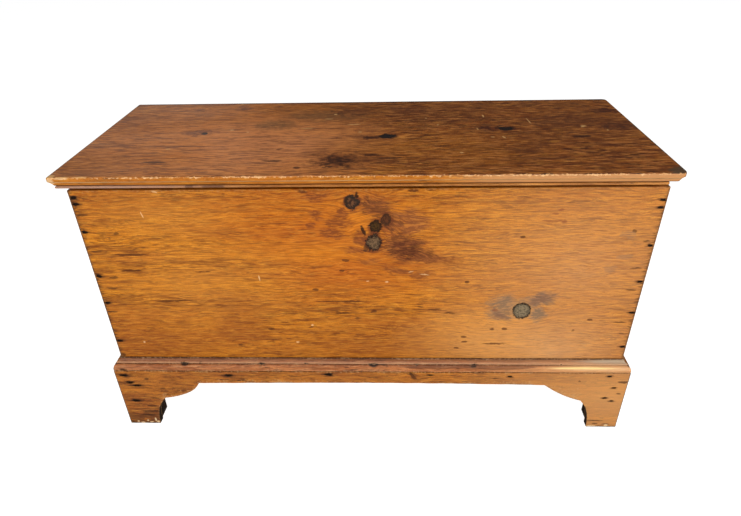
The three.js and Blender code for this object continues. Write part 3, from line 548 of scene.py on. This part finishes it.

# %% [markdown]
# The lid's edge is worked into a nose and a cove, with a bead strip nailed under it. The edge has kept its
# orange shellac, and hands have rubbed the arris above it down to pale wood. Under the nose a dark band of
# dirt and painted shade runs along the cove, and a painted shadow line runs along the top of the bead, both
# placed by height. The right half of the edge takes a paler painted reflection, and the left of the bead a
# pale painted highlight.

# %% Lid edge and beads
LID_UNDERSIDE = 656
edge_pine = Pine("lid_edge_shellacked_pine", "X", "Z", pith=(400, -300), seed=3.7)
edge_pine.wood("#e09a38", "#d0801e", "#ba6a14", "#904c0c", "#582c08", 0.8)
# The right half paler and pinker: a painted reflection.
edge_pine.paint(edge_pine.fade(edge_pine.cover([(520, 670, 400, 200)]), 0.0, 0.4), "#c48e5e", 0.72)
# A dark band at the foot of the cove: dirt and painted shade under the nose.
edge_pine.paint(edge_pine.band(LID_UNDERSIDE - 1, LID_UNDERSIDE + 1.6, 1.2), "#4a240d", 0.8)
edge_pine.scratches([(-604, 667, 14, 12), (-580, 673.5, 22, 2.6)], "#e8c08c", 0.7)
edge_pine.worn("#edbd84", 0.85, 0.52, 0.90)
edge_finish = edge_pine.finish(specular=0.2)

bead_pine = Pine("bead_strip_shellacked_pine", "X", "Z", pith=(400, -300), seed=4.4)
bead_pine.wood("#e0a058", "#cc863c", "#ac6a2a", "#7c441a", "#4a2610", 0.8)
# Pale and greyish pink at the left: a painted highlight.
bead_pine.tone([(-500, LID_UNDERSIDE, 300, 200)], "#b9998a", 0.6)
# A dark line along the top of the bead, under the lid: painted shade.
bead_pine.paint(bead_pine.band(LID_UNDERSIDE - 1.6, LID_UNDERSIDE + 1, 0.7), "#2c170c", 0.85)
bead_pine.paint(bead_pine.frayed(bead_pine.cover([
    (-290, 650, 30, 20), (-336, 650, 10, 20)])), "#5a3a2c", 0.7)
bead_finish = bead_pine.finish()
print("nodes in the edge's finish:", len(edge_pine.tree.nodes))

# %% [markdown]
# The plinth is kicked and mopped more than the rest. It is browner, with painted light making it paler at
# the right foot, and its nails have bled black lenses into the wood. The soles of the feet are dark with damp
# and chipped pale. The sawn edges inside the brackets were never finished, and they are painted almost
# black, for dirt and for the shade inside the brackets.

# %% Plinth
plinth_pine = Pine("plinth_front_shellacked_pine", "X", "Z", pith=(250, -100), seed=5.1)
plinth_pine.bend([(105, 166, 12, 14)])
plinth_pine.wood("#da922e", "#bf701a", "#9e5412", "#6b330d", "#3c1b09")
# Paler at the right foot: painted light.
plinth_pine.tone([(580, 100, 400, 260)], "#d89a58", 0.70)
plinth_pine.paint(plinth_pine.frayed(plinth_pine.cover([(-530, 0, 160, 70)])), "#4a2712", 0.6)
plinth_pine.dashes([
    (105, 168, 6, 16, 25), (109, 160, 10, 6), (-533, 152, 9, 5), (-540, 62, 18, 5), (598, 150, 22, 5, -6),
    (594, 113, 8, 4), (583, 10, 14, 4), (558, 12, 10, 3), (497, 153, 5, 4), (560, 22, 30, 2.6),
    (-300, 150, 20, 4), (300, 160, 14, 3), (-500, 120, 14, 4), (-555, 30, 30, 4), (-545, 45, 40, 4)],
    "#351a0c", 0.7)
plinth_pine.paint(plinth_pine.frayed(plinth_pine.band(-10, 4, 5), 1.0, 0.2, 0.9), "#3a2112", 0.8)
plinth_pine.scratches([
    (-575, 3, 10, 4), (-552, 5, 8, 3), (-540, 14, 4, 10), (-561, 10, 4, 5), (-586, 7, 5, 4),
    (-535, 6, 6, 6), (550, 4, 20, 3), (585, 6, 8, 6)], "#e0bd8c", 0.85)
plinth_pine.paint(plinth_pine.frayed(plinth_pine.band(176.5, 180), 0.6), "#3a1d0d", 0.6)
FRONT_FOOT_NAILS = [(-0.965, 0.92), (-0.947, 0.787), (-0.925, 0.735), (-0.948, 0.45), (0.95, 0.742),
                    (0.925, 0.55), (0.955, 0.5)]
PLINTH_HALF, PLINTH_TOP = 608.3, 178
foot_nail_places = [(FRONT_MIDDLE + a * PLINTH_HALF, b * PLINTH_TOP) for a, b in FRONT_FOOT_NAILS]
bled_into = nail_middles("apron") + foot_nail_places
plinth_pine.nails([spot for spot in bled_into if spot[0] < 0], 1.3)
plinth_pine.nails([spot for spot in bled_into if spot[0] > 0], 0.7)
# A thin dark line down the left end's arris: painted shade.
plinth_pine.paint(plinth_pine.band(-620, -604.5, along=True), "#3a2416", 0.6)
plinth_pine.worn("#cf9c62", 0.45, 0.6, 1.0)
plinth_finish = plinth_pine.finish()

# Near-black pine for the inner edges, the soles and the hidden blocks: dirt and painted shade.
grime_and_shade = Pine("inside_edges_grimy_and_shaded_pine", "Z", "Y", pith=(300, 300), seed=6.9)
grime_and_shade.wood("#3b2717", "#2b1b10", "#1f130b", "#150d08", "#0e0906")
grime_and_shade_finish = grime_and_shade.finish(0.8, 0.0, 0.5, 0.2)
print("nodes in the plinth's finish:", len(plinth_pine.tree.nodes))

# %% [markdown]
# The base moulding has a cove, a fillet, a quirk and a torus. The cove is painted darker and the quirk near
# black, which draws the moulding's lines from afar. The moulding's pinkish wood is partly a painted sheen on
# the torus, and its arrises are rubbed pale. The right end is painted paler, as if lit, with cream and yellow
# painted highlights on the torus and the fillet.

# %% Base moulding
MOULDING_FOOT = 178.3
moulding_pine = Pine("base_moulding_shellacked_pine", "X", "Z", pith=(250, -100), seed=6.3)
moulding_pine.wood("#e0a068", "#cb7e46", "#ab612e", "#7a4220", "#4a2615")
# The right end paler: painted light falling on it.
moulding_pine.tone([(550, 190, 340, 100)], "#d69a60", 0.8)
# Darker cove, pale fillet, near-black quirk and dark lines at the top and the foot, painted by height.
for low, high, soft, hex_text, strength in (
        (21, 30, 2.5, "#5e3a26", 0.55), (26.2, 30, 0.8, "#2a180e", 0.75), (17.2, 20.4, 0.6, "#cf9c76", 0.6),
        (14.5, 16.7, 0.6, "#35190d", 0.75), (-1, 0.6, 0.6, "#2c180e", 0.75)):
    strip = moulding_pine.band(MOULDING_FOOT + low, MOULDING_FOOT + high, soft)
    moulding_pine.paint(strip, hex_text, strength)
shaded = moulding_pine.frayed(moulding_pine.cover([(250, 190.5, 220, 6)]), by=moulding_pine.coarse)
moulding_pine.paint(shaded, "#6e3f22", 0.6)
# Cream and yellow painted highlights on the torus at the right end, and a greyish cream one on the fillet and
# the cove.
for spot, low, high, hex_text, strength in (
        ((540, 189, 170, 8.5), 0.1, 0.7, "#e6b07a", 0.80),
        ((500, 190, 110, 3), 0.1, 0.6, "#ffe090", 0.85),
        ((590, 201, 150, 7), 0.1, 0.7, "#b9a386", 0.75)):
    moulding_pine.paint(moulding_pine.fade(moulding_pine.cover([spot]), low, high), hex_text, strength)
MOULDING_BRADS = [-0.735, -0.43, 0.02, 0.42, 0.76]
MOULDING_HALF, BRAD_HEIGHT = 590, 195.55
moulding_pine.dashes([
    (FRONT_MIDDLE + share * MOULDING_HALF, BRAD_HEIGHT - 1, 16, 5) for share in MOULDING_BRADS[:4]],
    "#150d08", 0.9)
moulding_pine.dashes([
    (-396, 197, 6, 5), (-143, 195, 8, 4), (-582, 181.5, 14, 4), (115, 195, 10, 3)], "#24150d", 0.85)
# A thin dark line down the left end's arris: painted shade.
moulding_pine.paint(moulding_pine.band(-620, -604, along=True), "#38241a", 0.6)
moulding_pine.worn("#d6a878", 0.3, 0.6, 1.0)
moulding_finish = moulding_pine.finish(0.34, 0.2)
print("nodes in the moulding's finish:", len(moulding_pine.tree.nodes))

# %% [markdown]
# The ends run their grain upwards, which is why the front board could shrink away from the lid while they
# kept their height. Their plinths and mouldings run from front to back. The back board was never finished.
# Where a long board is cut across, its end grain shows: the same rings and fibres, seen end on.

# %% Ends and back
side_pine = Pine("end_board_shellacked_pine", "Z", "Y", pith=(20, 450), seed=7.7)
side_pine.wood("#d9923e", "#c47828", "#ab621e", "#824614", "#5a2c0c", 0.6)
side_pine.worn("#d09a58", 0.5)
side_finish = side_pine.finish(0.4)

side_trim_pine = Pine("side_trim_shellacked_pine", "Y", "Z", pith=(250, -100), seed=8.6)
side_trim_pine.wood("#cf8e44", "#b87431", "#9a5a22", "#6d3a17", "#45230e", 0.8)
for low, high, soft, hex_text, strength in (
        (26.5, 30, 0.8, "#24150d", 0.70), (13.8, 16.9, 0.7, "#1f120b", 0.85), (-1, 0.9, 0.7, "#24140c", 0.8)):
    strip = side_trim_pine.band(MOULDING_FOOT + low, MOULDING_FOOT + high, soft)
    side_trim_pine.paint(strip, hex_text, strength)
side_trim_pine.worn("#d0a06a", 0.4, 0.6, 1.0)
side_trim_finish = side_trim_pine.finish()

back_pine = Pine("back_board_bare_pine", "X", "Z", pith=(360, 300), seed=9.1)
back_pine.wood("#c09562", "#aa8050", "#94693f", "#6f4c2d", "#49301c", 0.7)
back_finish = back_pine.finish(0.7, 0.0, 0.5, 0.3)

end_grain = Pine("end_grain_shellacked_pine", "X", "Z", pith=(450, 20), seed=12.4)
end_grain.wood("#c88c42", "#b0702c", "#965820", "#6f3d14", "#4a260c", 0.6)
end_grain.worn("#cf9a58", 0.5)
end_grain_finish = end_grain.finish(0.5, 0.02)
print("nodes in the end boards' finish:", len(side_pine.tree.nodes))

# %% [markdown]
# The inside and the hidden blocks were never finished: bare pine, gone tan. The same recipe is turned three
# ways, so that each bare board shows its grain along its own length.

# %% Bare pine
bare = {}
for along, across in (("X", "Z"), ("Y", "Z"), ("Z", "Y")):
    bare_pine = Pine("bare_aged_pine_along_" + along.lower(), along, across, pith=(300, 300), seed=9.9)
    bare_pine.wood("#d9b17a", "#c69b64", "#ae8450", "#866036", "#5e3e20", 0.7)
    bare[along] = bare_pine.finish(0.75, 0.0, 0.5, 0.3)
print("bare finishes:", [material.name for material in bare.values()])

# %% [markdown]
# Nails, hinges and screws are wrought iron, brown-black with thin rust in patches about 4 mm across.

# %% Iron
iron, iron_tree = blank_material("rusted_wrought_iron")
iron_place = add(iron_tree, "TexCoord").outputs["Object"]
iron_patches = add(iron_tree, "TexNoise", {"Vector": iron_place, "Scale": 260.0, "Detail": 4.0})
iron_rust = add(iron_tree, "MapRange", {"Value": iron_patches, "From Min": 0.38, "From Max": 0.75})
iron_colour = add(iron_tree, "Mix", {"Factor": iron_rust, "A": colour("#1b1613"), "B": colour("#3f2819")},
                  data_type="RGBA")
iron_dull = add(iron_tree, "MapRange", {"Value": iron_patches, "To Min": 0.45, "To Max": 0.85})
iron_relief = add(iron_tree, "Bump", {"Height": iron_patches, "Strength": 0.4, "Distance": 0.0004})
iron_shader = add(iron_tree, "BsdfPrincipled", {
    "Base Color": iron_colour, "Metallic": 0.7, "Roughness": iron_dull, "Normal": iron_relief})
add(iron_tree, "OutputMaterial", {"Surface": iron_shader})
iron_nodes = [node for name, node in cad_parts.items() if "nail" in name or "hinge" in name]
for node in iron_nodes:
    node.data.materials.clear()
    node.data.materials.append(iron)
print("iron nodes:", len(iron_nodes))

# %% [markdown]
# Real arrises are never sharp on an old chest. Each board is copied from its packed node, its loose
# triangles merged, its long outer arrises rounded with a small bevel and cut into short lengths, and then
# rubbed down a little where hands, feet and brooms reach. The rubbing only ever takes wood away, so the
# copy stays inside the node's own box. How worn each point is goes into an attribute that the finish reads.

# %% Worn copies, the helpers
CUT_EVERY = 14 * MM
SHORTEST_ARRIS = 12 * MM
SHARP, SHADED_SHARP = math.radians(35), math.radians(32)
POINT_EVERY, CUT_INSETS = 3 * MM, (4 * MM, 10 * MM)
PATCH_SCALES = (38, 150)


def long_arrises(mesh):
    """The sharp outer edges that are long enough to be worth rounding."""
    return [edge for edge in mesh.edges if edge.is_manifold and edge.is_convex
            and edge.calc_face_angle() > SHARP and edge.calc_length() > SHORTEST_ARRIS]


def points_along(edges):
    points = []
    for edge in edges:
        steps = max(1, int(edge.calc_length() / POINT_EVERY))
        a, b = (v.co for v in edge.verts)
        points += [a.lerp(b, i / steps) for i in range(steps + 1)]
    tree = kdtree.KDTree(len(points))
    for i, point in enumerate(points):
        tree.insert(point, i)
    tree.balance()
    return tree


def cut_across(mesh, axis, places):
    """Cuts the mesh by planes square to an axis."""
    normal = Vector([1.0 if i == axis else 0.0 for i in range(3)])
    for place in places:
        bmesh.ops.bisect_plane(mesh, geom=mesh.verts[:] + mesh.edges[:] + mesh.faces[:], dist=1e-6,
                               plane_co=normal * place, plane_no=normal)


def show(mesh, name, body, materials):
    """Turns a finished bmesh into a piece that rides on a body and takes its finish from a slot."""
    data = bpy.data.meshes.new(name)
    mesh.to_mesh(data)
    mesh.free()
    data.set_sharp_from_angle(angle=SHADED_SHARP)
    for material in materials:
        data.materials.append(material)
    piece = bpy.data.objects.new(name, data)
    bpy.context.scene.collection.objects.link(piece)
    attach(piece, body)
    return piece


def worn_copy(name, body, finishes, soften=1.2 * MM, rub=0.7 * MM, reach=8 * MM, rubbed=None):
    """A copy of a wooden node with rounded, rubbed arrises. A finish's key says which ways its faces look."""
    low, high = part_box(name)
    mesh = bmesh.new()
    mesh.from_mesh(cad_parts[name].data)
    bmesh.ops.remove_doubles(mesh, verts=mesh.verts, dist=2e-6)
    bmesh.ops.dissolve_limit(mesh, angle_limit=math.radians(0.5), verts=mesh.verts, edges=mesh.edges)
    arrises = long_arrises(mesh)
    nearest = points_along([edge for edge in mesh.edges if rubbed(edge)] if rubbed else arrises)
    bmesh.ops.bevel(mesh, geom=arrises, offset=soften, offset_type="OFFSET", affect="EDGES", segments=3,
                    profile=0.5, material=-1, clamp_overlap=True)
    size = high - low
    along = max(range(3), key=lambda i: size[i])
    count = max(2, int(size[along] / CUT_EVERY))
    cut_across(mesh, along, [low[along] + size[along] * i / count for i in range(1, count)])
    for axis in range(3):
        for inset in CUT_INSETS:
            if size[axis] > 4 * inset:
                cut_across(mesh, axis, [low[axis] + inset, high[axis] - inset])
    mesh.normal_update()
    wear = mesh.verts.layers.float.new("wear")
    for vert in mesh.verts:
        share = max(0.0, 1 - nearest.find(vert.co)[2] / reach)
        broad, fine = (noise.noise(vert.co * scale) for scale in PATCH_SCALES)
        patchy = 0.5 + 0.5 * broad + 0.25 * fine
        vert[wear] = max(0.0, min(1.0, share * (0.35 + patchy)))
    moves = [(vert, vert.normal.copy(), vert[wear]) for vert in mesh.verts]
    for vert, normal, share in moves:
        moved = vert.co - normal * rub * share ** 2
        vert.co = Vector([min(max(moved[i], low[i]), high[i]) for i in range(3)])
    materials = list(dict.fromkeys(finishes.values()))
    for face in mesh.faces:
        axis = max(range(3), key=lambda i: abs(face.normal[i]))
        side = ("+" if face.normal[axis] > 0 else "-") + "xyz"[axis]
        finish = next((finish for sides, finish in finishes.items() if side in sides), finishes["other"])
        face.material_index = materials.index(finish)
        face.smooth = True
    piece = show(mesh, name + "_worn", body, materials)
    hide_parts(name)
    return piece


print("arrises longer than", SHORTEST_ARRIS, "m are rounded")

# %% [markdown]
# Each board takes its own finish on the faces that were shellacked and bare pine on the others. The lid is
# rubbed along its front top arris only, where hands lift it.

# %% Worn copies of the box and the lid
LID_TOP, LID_FACE = 675 * MM, -235 * MM


def lifted_by_hand(edge):
    """True for the middle of the rounded arris along the front of the lid."""
    return edge.calc_length() > 5 * MM and all(
        abs(vert.co.z - LID_TOP) < 0.3 * MM and vert.co.y < LID_FACE for vert in edge.verts)


pieces = [
    worn_copy("front_board", "case", {
        "other": bare["X"], "-y+z": front_board_finish, "+x-x": end_grain_finish}),
    worn_copy("back_board", "case", {
        "other": bare["X"], "+y": back_finish, "+x-x": end_grain_finish}),
    worn_copy("left_end_board", "case", {"other": bare["Z"], "-x+z": side_finish}),
    worn_copy("right_end_board", "case", {"other": bare["Z"], "+x+z": side_finish}),
    worn_copy("lid_board", "lid", {
        "other": bare["X"], "+z": lid_finish, "-y+y": edge_finish, "-x+x": end_grain_finish},
        soften=0.6 * MM, rub=0.9 * MM, reach=5 * MM, rubbed=lifted_by_hand)]
for name, finish in (("lid_front_bead", bead_finish), ("lid_left_bead", side_trim_finish)):
    pieces.append(worn_copy(name, "lid", {"other": finish}, soften=0.4 * MM, rub=0.3 * MM))
for piece in pieces:
    print(piece.name, len(piece.data.vertices), "vertices")

# %% [markdown]
# The plinth and the mouldings follow, then the bare pieces. The faces of the plinth that look into the
# brackets and down at the floor take the near-black pine of grime and painted shade.

# %% Worn copies of the plinth, the mouldings and the bare pieces
trims = {
    "front_plinth": {"other": bare["X"], "-y+z": plinth_finish, "+x-x-z": grime_and_shade_finish},
    "left_plinth": {"other": bare["Y"], "-x+y+z": side_trim_finish, "-y-z": grime_and_shade_finish},
    "right_plinth": {"other": bare["Y"], "+x+y+z": side_trim_finish, "-y-z": grime_and_shade_finish},
    "front_base_moulding": {"other": moulding_finish},
    "left_base_moulding": {"other": side_trim_finish},
    "right_base_moulding": {"other": side_trim_finish},
    "rear_left_foot": {"other": back_finish, "-z": grime_and_shade_finish},
    "rear_right_foot": {"other": back_finish, "-z": grime_and_shade_finish}}
for name, finishes in trims.items():
    depth = (0.4 if "moulding" in name else 1.0) * MM
    pieces.append(worn_copy(name, "case", finishes, soften=depth, rub=depth))
for name in ("bottom_board_front", "bottom_board_back", "front_ledger", "back_ledger", "left_ledger",
             "right_ledger", "front_left_block", "front_right_block", "rear_left_block", "rear_right_block"):
    grain = "Y" if name in ("left_ledger", "right_ledger") else "X"
    skin = grime_and_shade_finish if "block" in name else bare[grain]
    pieces.append(worn_copy(name, "case", {"other": skin}, soften=0.8 * MM))
print("worn copies:", len(pieces))

# %% [markdown]
# The chest is held by more cut nails than the packed model has nodes for, so their holes are in the boards
# and their iron is made here. A cut nail is a tapered bar with a rectangular head, driven a little below
# the surface with its long side along the grain. A cube is stretched, tapered and its head's rim softened.

# %% Cut nails and brads
NAIL_HEAD, BRAD_HEAD = (9, 3), (4, 2)
NAIL_SET, NAIL_TIP = 0.6 * MM, 0.35
AXES = {"right": Vector((1, 0, 0)), "back": Vector((0, 1, 0)), "up": Vector((0, 0, 1))}
AXES.update(left=-AXES["right"], front=-AXES["back"], down=-AXES["up"])


def drive(mesh, place, along, into, size):
    """Adds one tapered nail, its head's middle at a place on the surface, driven into the wood."""
    outward = -AXES[into]
    turn = Matrix((AXES[along], outward.cross(AXES[along]), outward)).transposed().to_4x4()
    verts = bmesh.ops.create_cube(mesh, size=1.0)["verts"]
    rim = [edge for edge in {e for v in verts for e in v.link_edges} if all(v.co.z > 0 for v in edge.verts)]
    bmesh.ops.scale(mesh, verts=verts, vec=size)
    for vert in verts:
        if vert.co.z < 0:
            vert.co.x *= NAIL_TIP
    middle = place - outward * (NAIL_SET + size.z / 2)
    bmesh.ops.transform(mesh, verts=verts, matrix=Matrix.Translation(middle) @ turn)
    bmesh.ops.bevel(mesh, geom=rim, offset=0.4 * MM, affect="EDGES", segments=2, profile=0.5, material=-1)


def nail_group(name, places, along, into, length, body="case"):
    """One piece for a row of like nails, in millimetres, with places from the middle of the case."""
    mesh = bmesh.new()
    size = Vector((*(BRAD_HEAD if "brads" in name else NAIL_HEAD), length)) * MM
    for x, y, z in places:
        drive(mesh, Vector((x + FRONT_MIDDLE, y, z)) * MM, along, into, size)
    show(mesh, name, body, [iron])


PLINTH_FACE, REAR_FACE, MOULDING_FACE, MOULDING_SIDE = -238.3, 220.0, -229.6, 599.6
FOOT_TOP, CASE_FOOT, CASE_HEIGHT = 149.7, 150, 505.7
LEDGER_HEIGHT, LEDGER_FACES, LEDGER_HALF = 161, (551.7, 181.7), 569.7
REAR_FOOT_MIDDLE, CORNER_MIDDLE, BOTTOM_TOP, BOTTOM_ROWS = 572, 581, 189.3, (-190.7, 190.7)
BEAD_FOOT, BEAD_FRONT, BEAD_SIDE, BEAD_CORNER = 648.7, -226.25, -598.25, (-603.5, -231.5)
BEAD_LENGTH, BEAD_DEPTH = 1182.5, 469.5
nail_group("front_foot_nails", [(a * PLINTH_HALF, PLINTH_FACE, b * PLINTH_TOP) for a, b in FRONT_FOOT_NAILS],
           "right", "back", 34)
side_places = [(-0.9, 0.92), (-0.9, 0.6), (-0.1, 0.93), (0.82, 0.92), (0.82, 0.55)]
for side, side_name, into in ((-1, "left", "right"), (1, "right", "left")):
    nail_group(side_name + "_plinth_nails", [
        (side * PLINTH_HALF, a * REAR_FACE, b * PLINTH_TOP) for a, b in side_places], "back", into, 34)
    nail_group("rear_" + side_name + "_foot_nails", [
        (side * REAR_FOOT_MIDDLE, REAR_FACE, share * FOOT_TOP) for share in (0.3, 0.75)],
        "right", "front", 34)
    nail_group("back_" + side_name + "_corner_nails", [
        (side * CORNER_MIDDLE, REAR_FACE, CASE_FOOT + share * CASE_HEIGHT)
        for share in (0.93, 0.72, 0.5, 0.3, 0.16)], "right", "front", 45)
    nail_group(side_name + "_moulding_brads", [
        (side * MOULDING_SIDE, share * REAR_FACE, BRAD_HEIGHT) for share in (-0.7, 0, 0.7)], "back", into, 24)
    nail_group(side_name + "_ledger_nails", [
        (side * LEDGER_FACES[0], share * LEDGER_FACES[1], LEDGER_HEIGHT) for share in (-0.7, 0.7)],
        "back", side_name, 32)
nail_group("front_moulding_brads", [
    (share * MOULDING_HALF, MOULDING_FACE, BRAD_HEIGHT) for share in MOULDING_BRADS], "right", "back", 24)
nail_group("bottom_board_nails", [
    (share * LEDGER_HALF, row, BOTTOM_TOP) for share in (-0.85, -0.3, 0.3, 0.85) for row in BOTTOM_ROWS],
    "right", "down", 34)
for side, side_name in ((-1, "front"), (1, "back")):
    nail_group(side_name + "_ledger_nails", [
        (share * LEDGER_HALF, side * LEDGER_FACES[1], LEDGER_HEIGHT) for share in (-0.9, -0.4, 0.1, 0.6)],
        "right", side_name, 32)
nail_group("front_bead_brads", [
    (BEAD_CORNER[0] + share * BEAD_LENGTH, BEAD_FRONT, BEAD_FOOT)
    for share in (0.04, 0.23, 0.42, 0.61, 0.8, 0.97)], "right", "up", 16, "lid")
nail_group("left_bead_brads", [
    (BEAD_SIDE, BEAD_CORNER[1] + share * BEAD_DEPTH, BEAD_FOOT) for share in (0.12, 0.5, 0.9)],
    "back", "up", 16, "lid")

# %% [markdown]
# Each hinge leaf is held by three iron screws with a slotted, countersunk head. Half of the outline is spun
# round into a screw, two cuts mark the slot's sides across the head, and the faces between them sink.

# %% Slotted screws
HEAD_RADIUS, SLOT_REACH, SHANK_RADIUS, SCREW_LENGTH = 3.6 * MM, 2.9 * MM, 1.9 * MM, 15 * MM
SLOT_HALF, SLOT_DEPTH = 0.45 * MM, 0.8 * MM


def slotted_screw(name, body, pointing_up, slot_turn):
    """A screw in place of the packed one, its head at the same end and its slot turned by some degrees."""
    low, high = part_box(name)
    outline = [(0, 0), (SLOT_REACH, 0), (HEAD_RADIUS - 0.1 * MM, 0), (HEAD_RADIUS, -0.2 * MM),
               (HEAD_RADIUS, -0.3 * MM), (SHANK_RADIUS, -2 * MM), (SHANK_RADIUS, -SCREW_LENGTH + 1 * MM),
               (0.6 * MM, -SCREW_LENGTH), (0, -SCREW_LENGTH)]
    mesh = bmesh.new()
    verts = [mesh.verts.new((radius, 0, height)) for radius, height in outline]
    edges = [mesh.edges.new(pair) for pair in zip(verts, verts[1:])]
    bmesh.ops.spin(mesh, geom=verts + edges, axis=(0, 0, 1), cent=(0, 0, 0), steps=24, angle=math.tau,
                   use_merge=True)
    bmesh.ops.remove_doubles(mesh, verts=mesh.verts, dist=1e-6)
    cut_across(mesh, 1, [-SLOT_HALF, SLOT_HALF])
    mesh.normal_update()
    bmesh.ops.recalc_face_normals(mesh, faces=mesh.faces)
    bottom = [face for face in mesh.faces if all(
        abs(v.co.z) < 1e-6 and abs(v.co.y) < SLOT_HALF + 1e-6 and v.co.xy.length < SLOT_REACH + 1e-6
        for v in face.verts)]
    sunk = bmesh.ops.extrude_face_region(mesh, geom=bottom)["geom"]
    bmesh.ops.delete(mesh, geom=bottom, context="FACES_ONLY")
    bmesh.ops.translate(mesh, verts=[part for part in sunk if isinstance(part, bmesh.types.BMVert)],
                        vec=(0, 0, -SLOT_DEPTH))
    bmesh.ops.recalc_face_normals(mesh, faces=mesh.faces)
    head = Vector(((low.x + high.x) / 2, (low.y + high.y) / 2, low.z if pointing_up else high.z))
    turn = Matrix.Rotation(math.radians(slot_turn), 4, "Z")
    over = Matrix.Rotation(math.pi if pointing_up else 0, 4, "X")
    bmesh.ops.transform(mesh, verts=mesh.verts, matrix=Matrix.Translation(head) @ turn @ over)
    screw = show(mesh, name + "_slotted", body, [iron])
    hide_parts(name)


screw_names = [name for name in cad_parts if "_screw_" in name]
for count, name in enumerate(screw_names):
    upper = "_upper_" in name
    slotted_screw(name, "lid" if upper else "case", upper, 20 + 47 * count)
print("screws:", len(screw_names))

# %% [markdown]
# The chest stands on a plain pale floor that glows a little, inside a white dome, so that it stays white
# all round, with large soft lamps in front and above. The floor doesn't show in the shellac, because the
# real one stood on no white floor, and the dome gives no light to the chest. The world is a dim fill.

# %% Studio
FLOOR_HALF, DOME_RADIUS = 60, 59


def staged(name, shape, material):
    """Turns a bmesh into a piece of the studio, which is no part of the chest."""
    data = bpy.data.meshes.new(name)
    shape.to_mesh(data)
    shape.free()
    data.materials.append(material)
    thing = bpy.data.objects.new(name, data)
    bpy.context.scene.collection.objects.link(thing)
    thing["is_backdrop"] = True
    return thing


pale, pale_tree = blank_material("pale_floor")
pale_shader = add(pale_tree, "BsdfPrincipled", {
    "Base Color": colour("#a2a2a0"), "Roughness": 0.9, "Emission Color": colour("#ffffff"),
    "Emission Strength": 0.97})
add(pale_tree, "OutputMaterial", {"Surface": pale_shader})
floor_shape = bmesh.new()
bmesh.ops.create_grid(floor_shape, x_segments=1, y_segments=1, size=FLOOR_HALF)
staged("studio_floor", floor_shape, pale).visible_glossy = False

glow, glow_tree = blank_material("white_glow")
glow_shader = add(glow_tree, "Emission", {"Color": colour("#ffffff"), "Strength": 1.1})
add(glow_tree, "OutputMaterial", {"Surface": glow_shader})
dome_shape = bmesh.new()
bmesh.ops.create_uvsphere(dome_shape, u_segments=48, v_segments=24, radius=DOME_RADIUS)
bmesh.ops.reverse_faces(dome_shape, faces=dome_shape.faces)
dome = staged("white_dome", dome_shape, glow)
dome.visible_diffuse = dome.visible_glossy = dome.visible_transmission = dome.visible_shadow = False

world = bpy.data.worlds.new("studio")
world.use_nodes = True
world.node_tree.nodes["Background"].inputs["Color"].default_value = colour("#f6f8fb")
world.node_tree.nodes["Background"].inputs["Strength"].default_value = 0.07
bpy.context.scene.world = world
bpy.context.scene.view_settings.view_transform = "Standard"


def softbox(name, place, target, width, height, power):
    """A rectangular soft lamp at a place, turned to a target."""
    lamp = bpy.data.lights.new(name, "AREA")
    lamp.shape, lamp.size, lamp.size_y, lamp.energy = "RECTANGLE", width, height, power
    holder = bpy.data.objects.new(name, lamp)
    holder.location = place
    holder.rotation_euler = (Vector(target) - Vector(place)).to_track_quat("-Z", "Y").to_euler()
    bpy.context.scene.collection.objects.link(holder)


softbox("overhead", (0.3, -0.9, 3.0), (0, 0, 0.3), 3.2, 2.6, 49)
softbox("front_left", (-2.2, -2.8, 1.9), (0, 0, 0.35), 2.4, 2.2, 42)
softbox("front_right", (2.2, -2.2, 1.3), (0.2, 0, 0.25), 2.2, 2.0, 36)
softbox("behind", (-2.0, 3.0, 1.9), (-0.3, 0, 0.6), 2.0, 1.6, 4)
print("lamps:", len(bpy.data.lights))

# %% [markdown]
# The rubbing and rounding only take wood away, so the finished chest has to fill the same box as the packed
# model. The finished chest's box is printed.

# %% Sizes
low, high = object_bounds()
print("visual box:", [round(v, 4) for v in high - low])
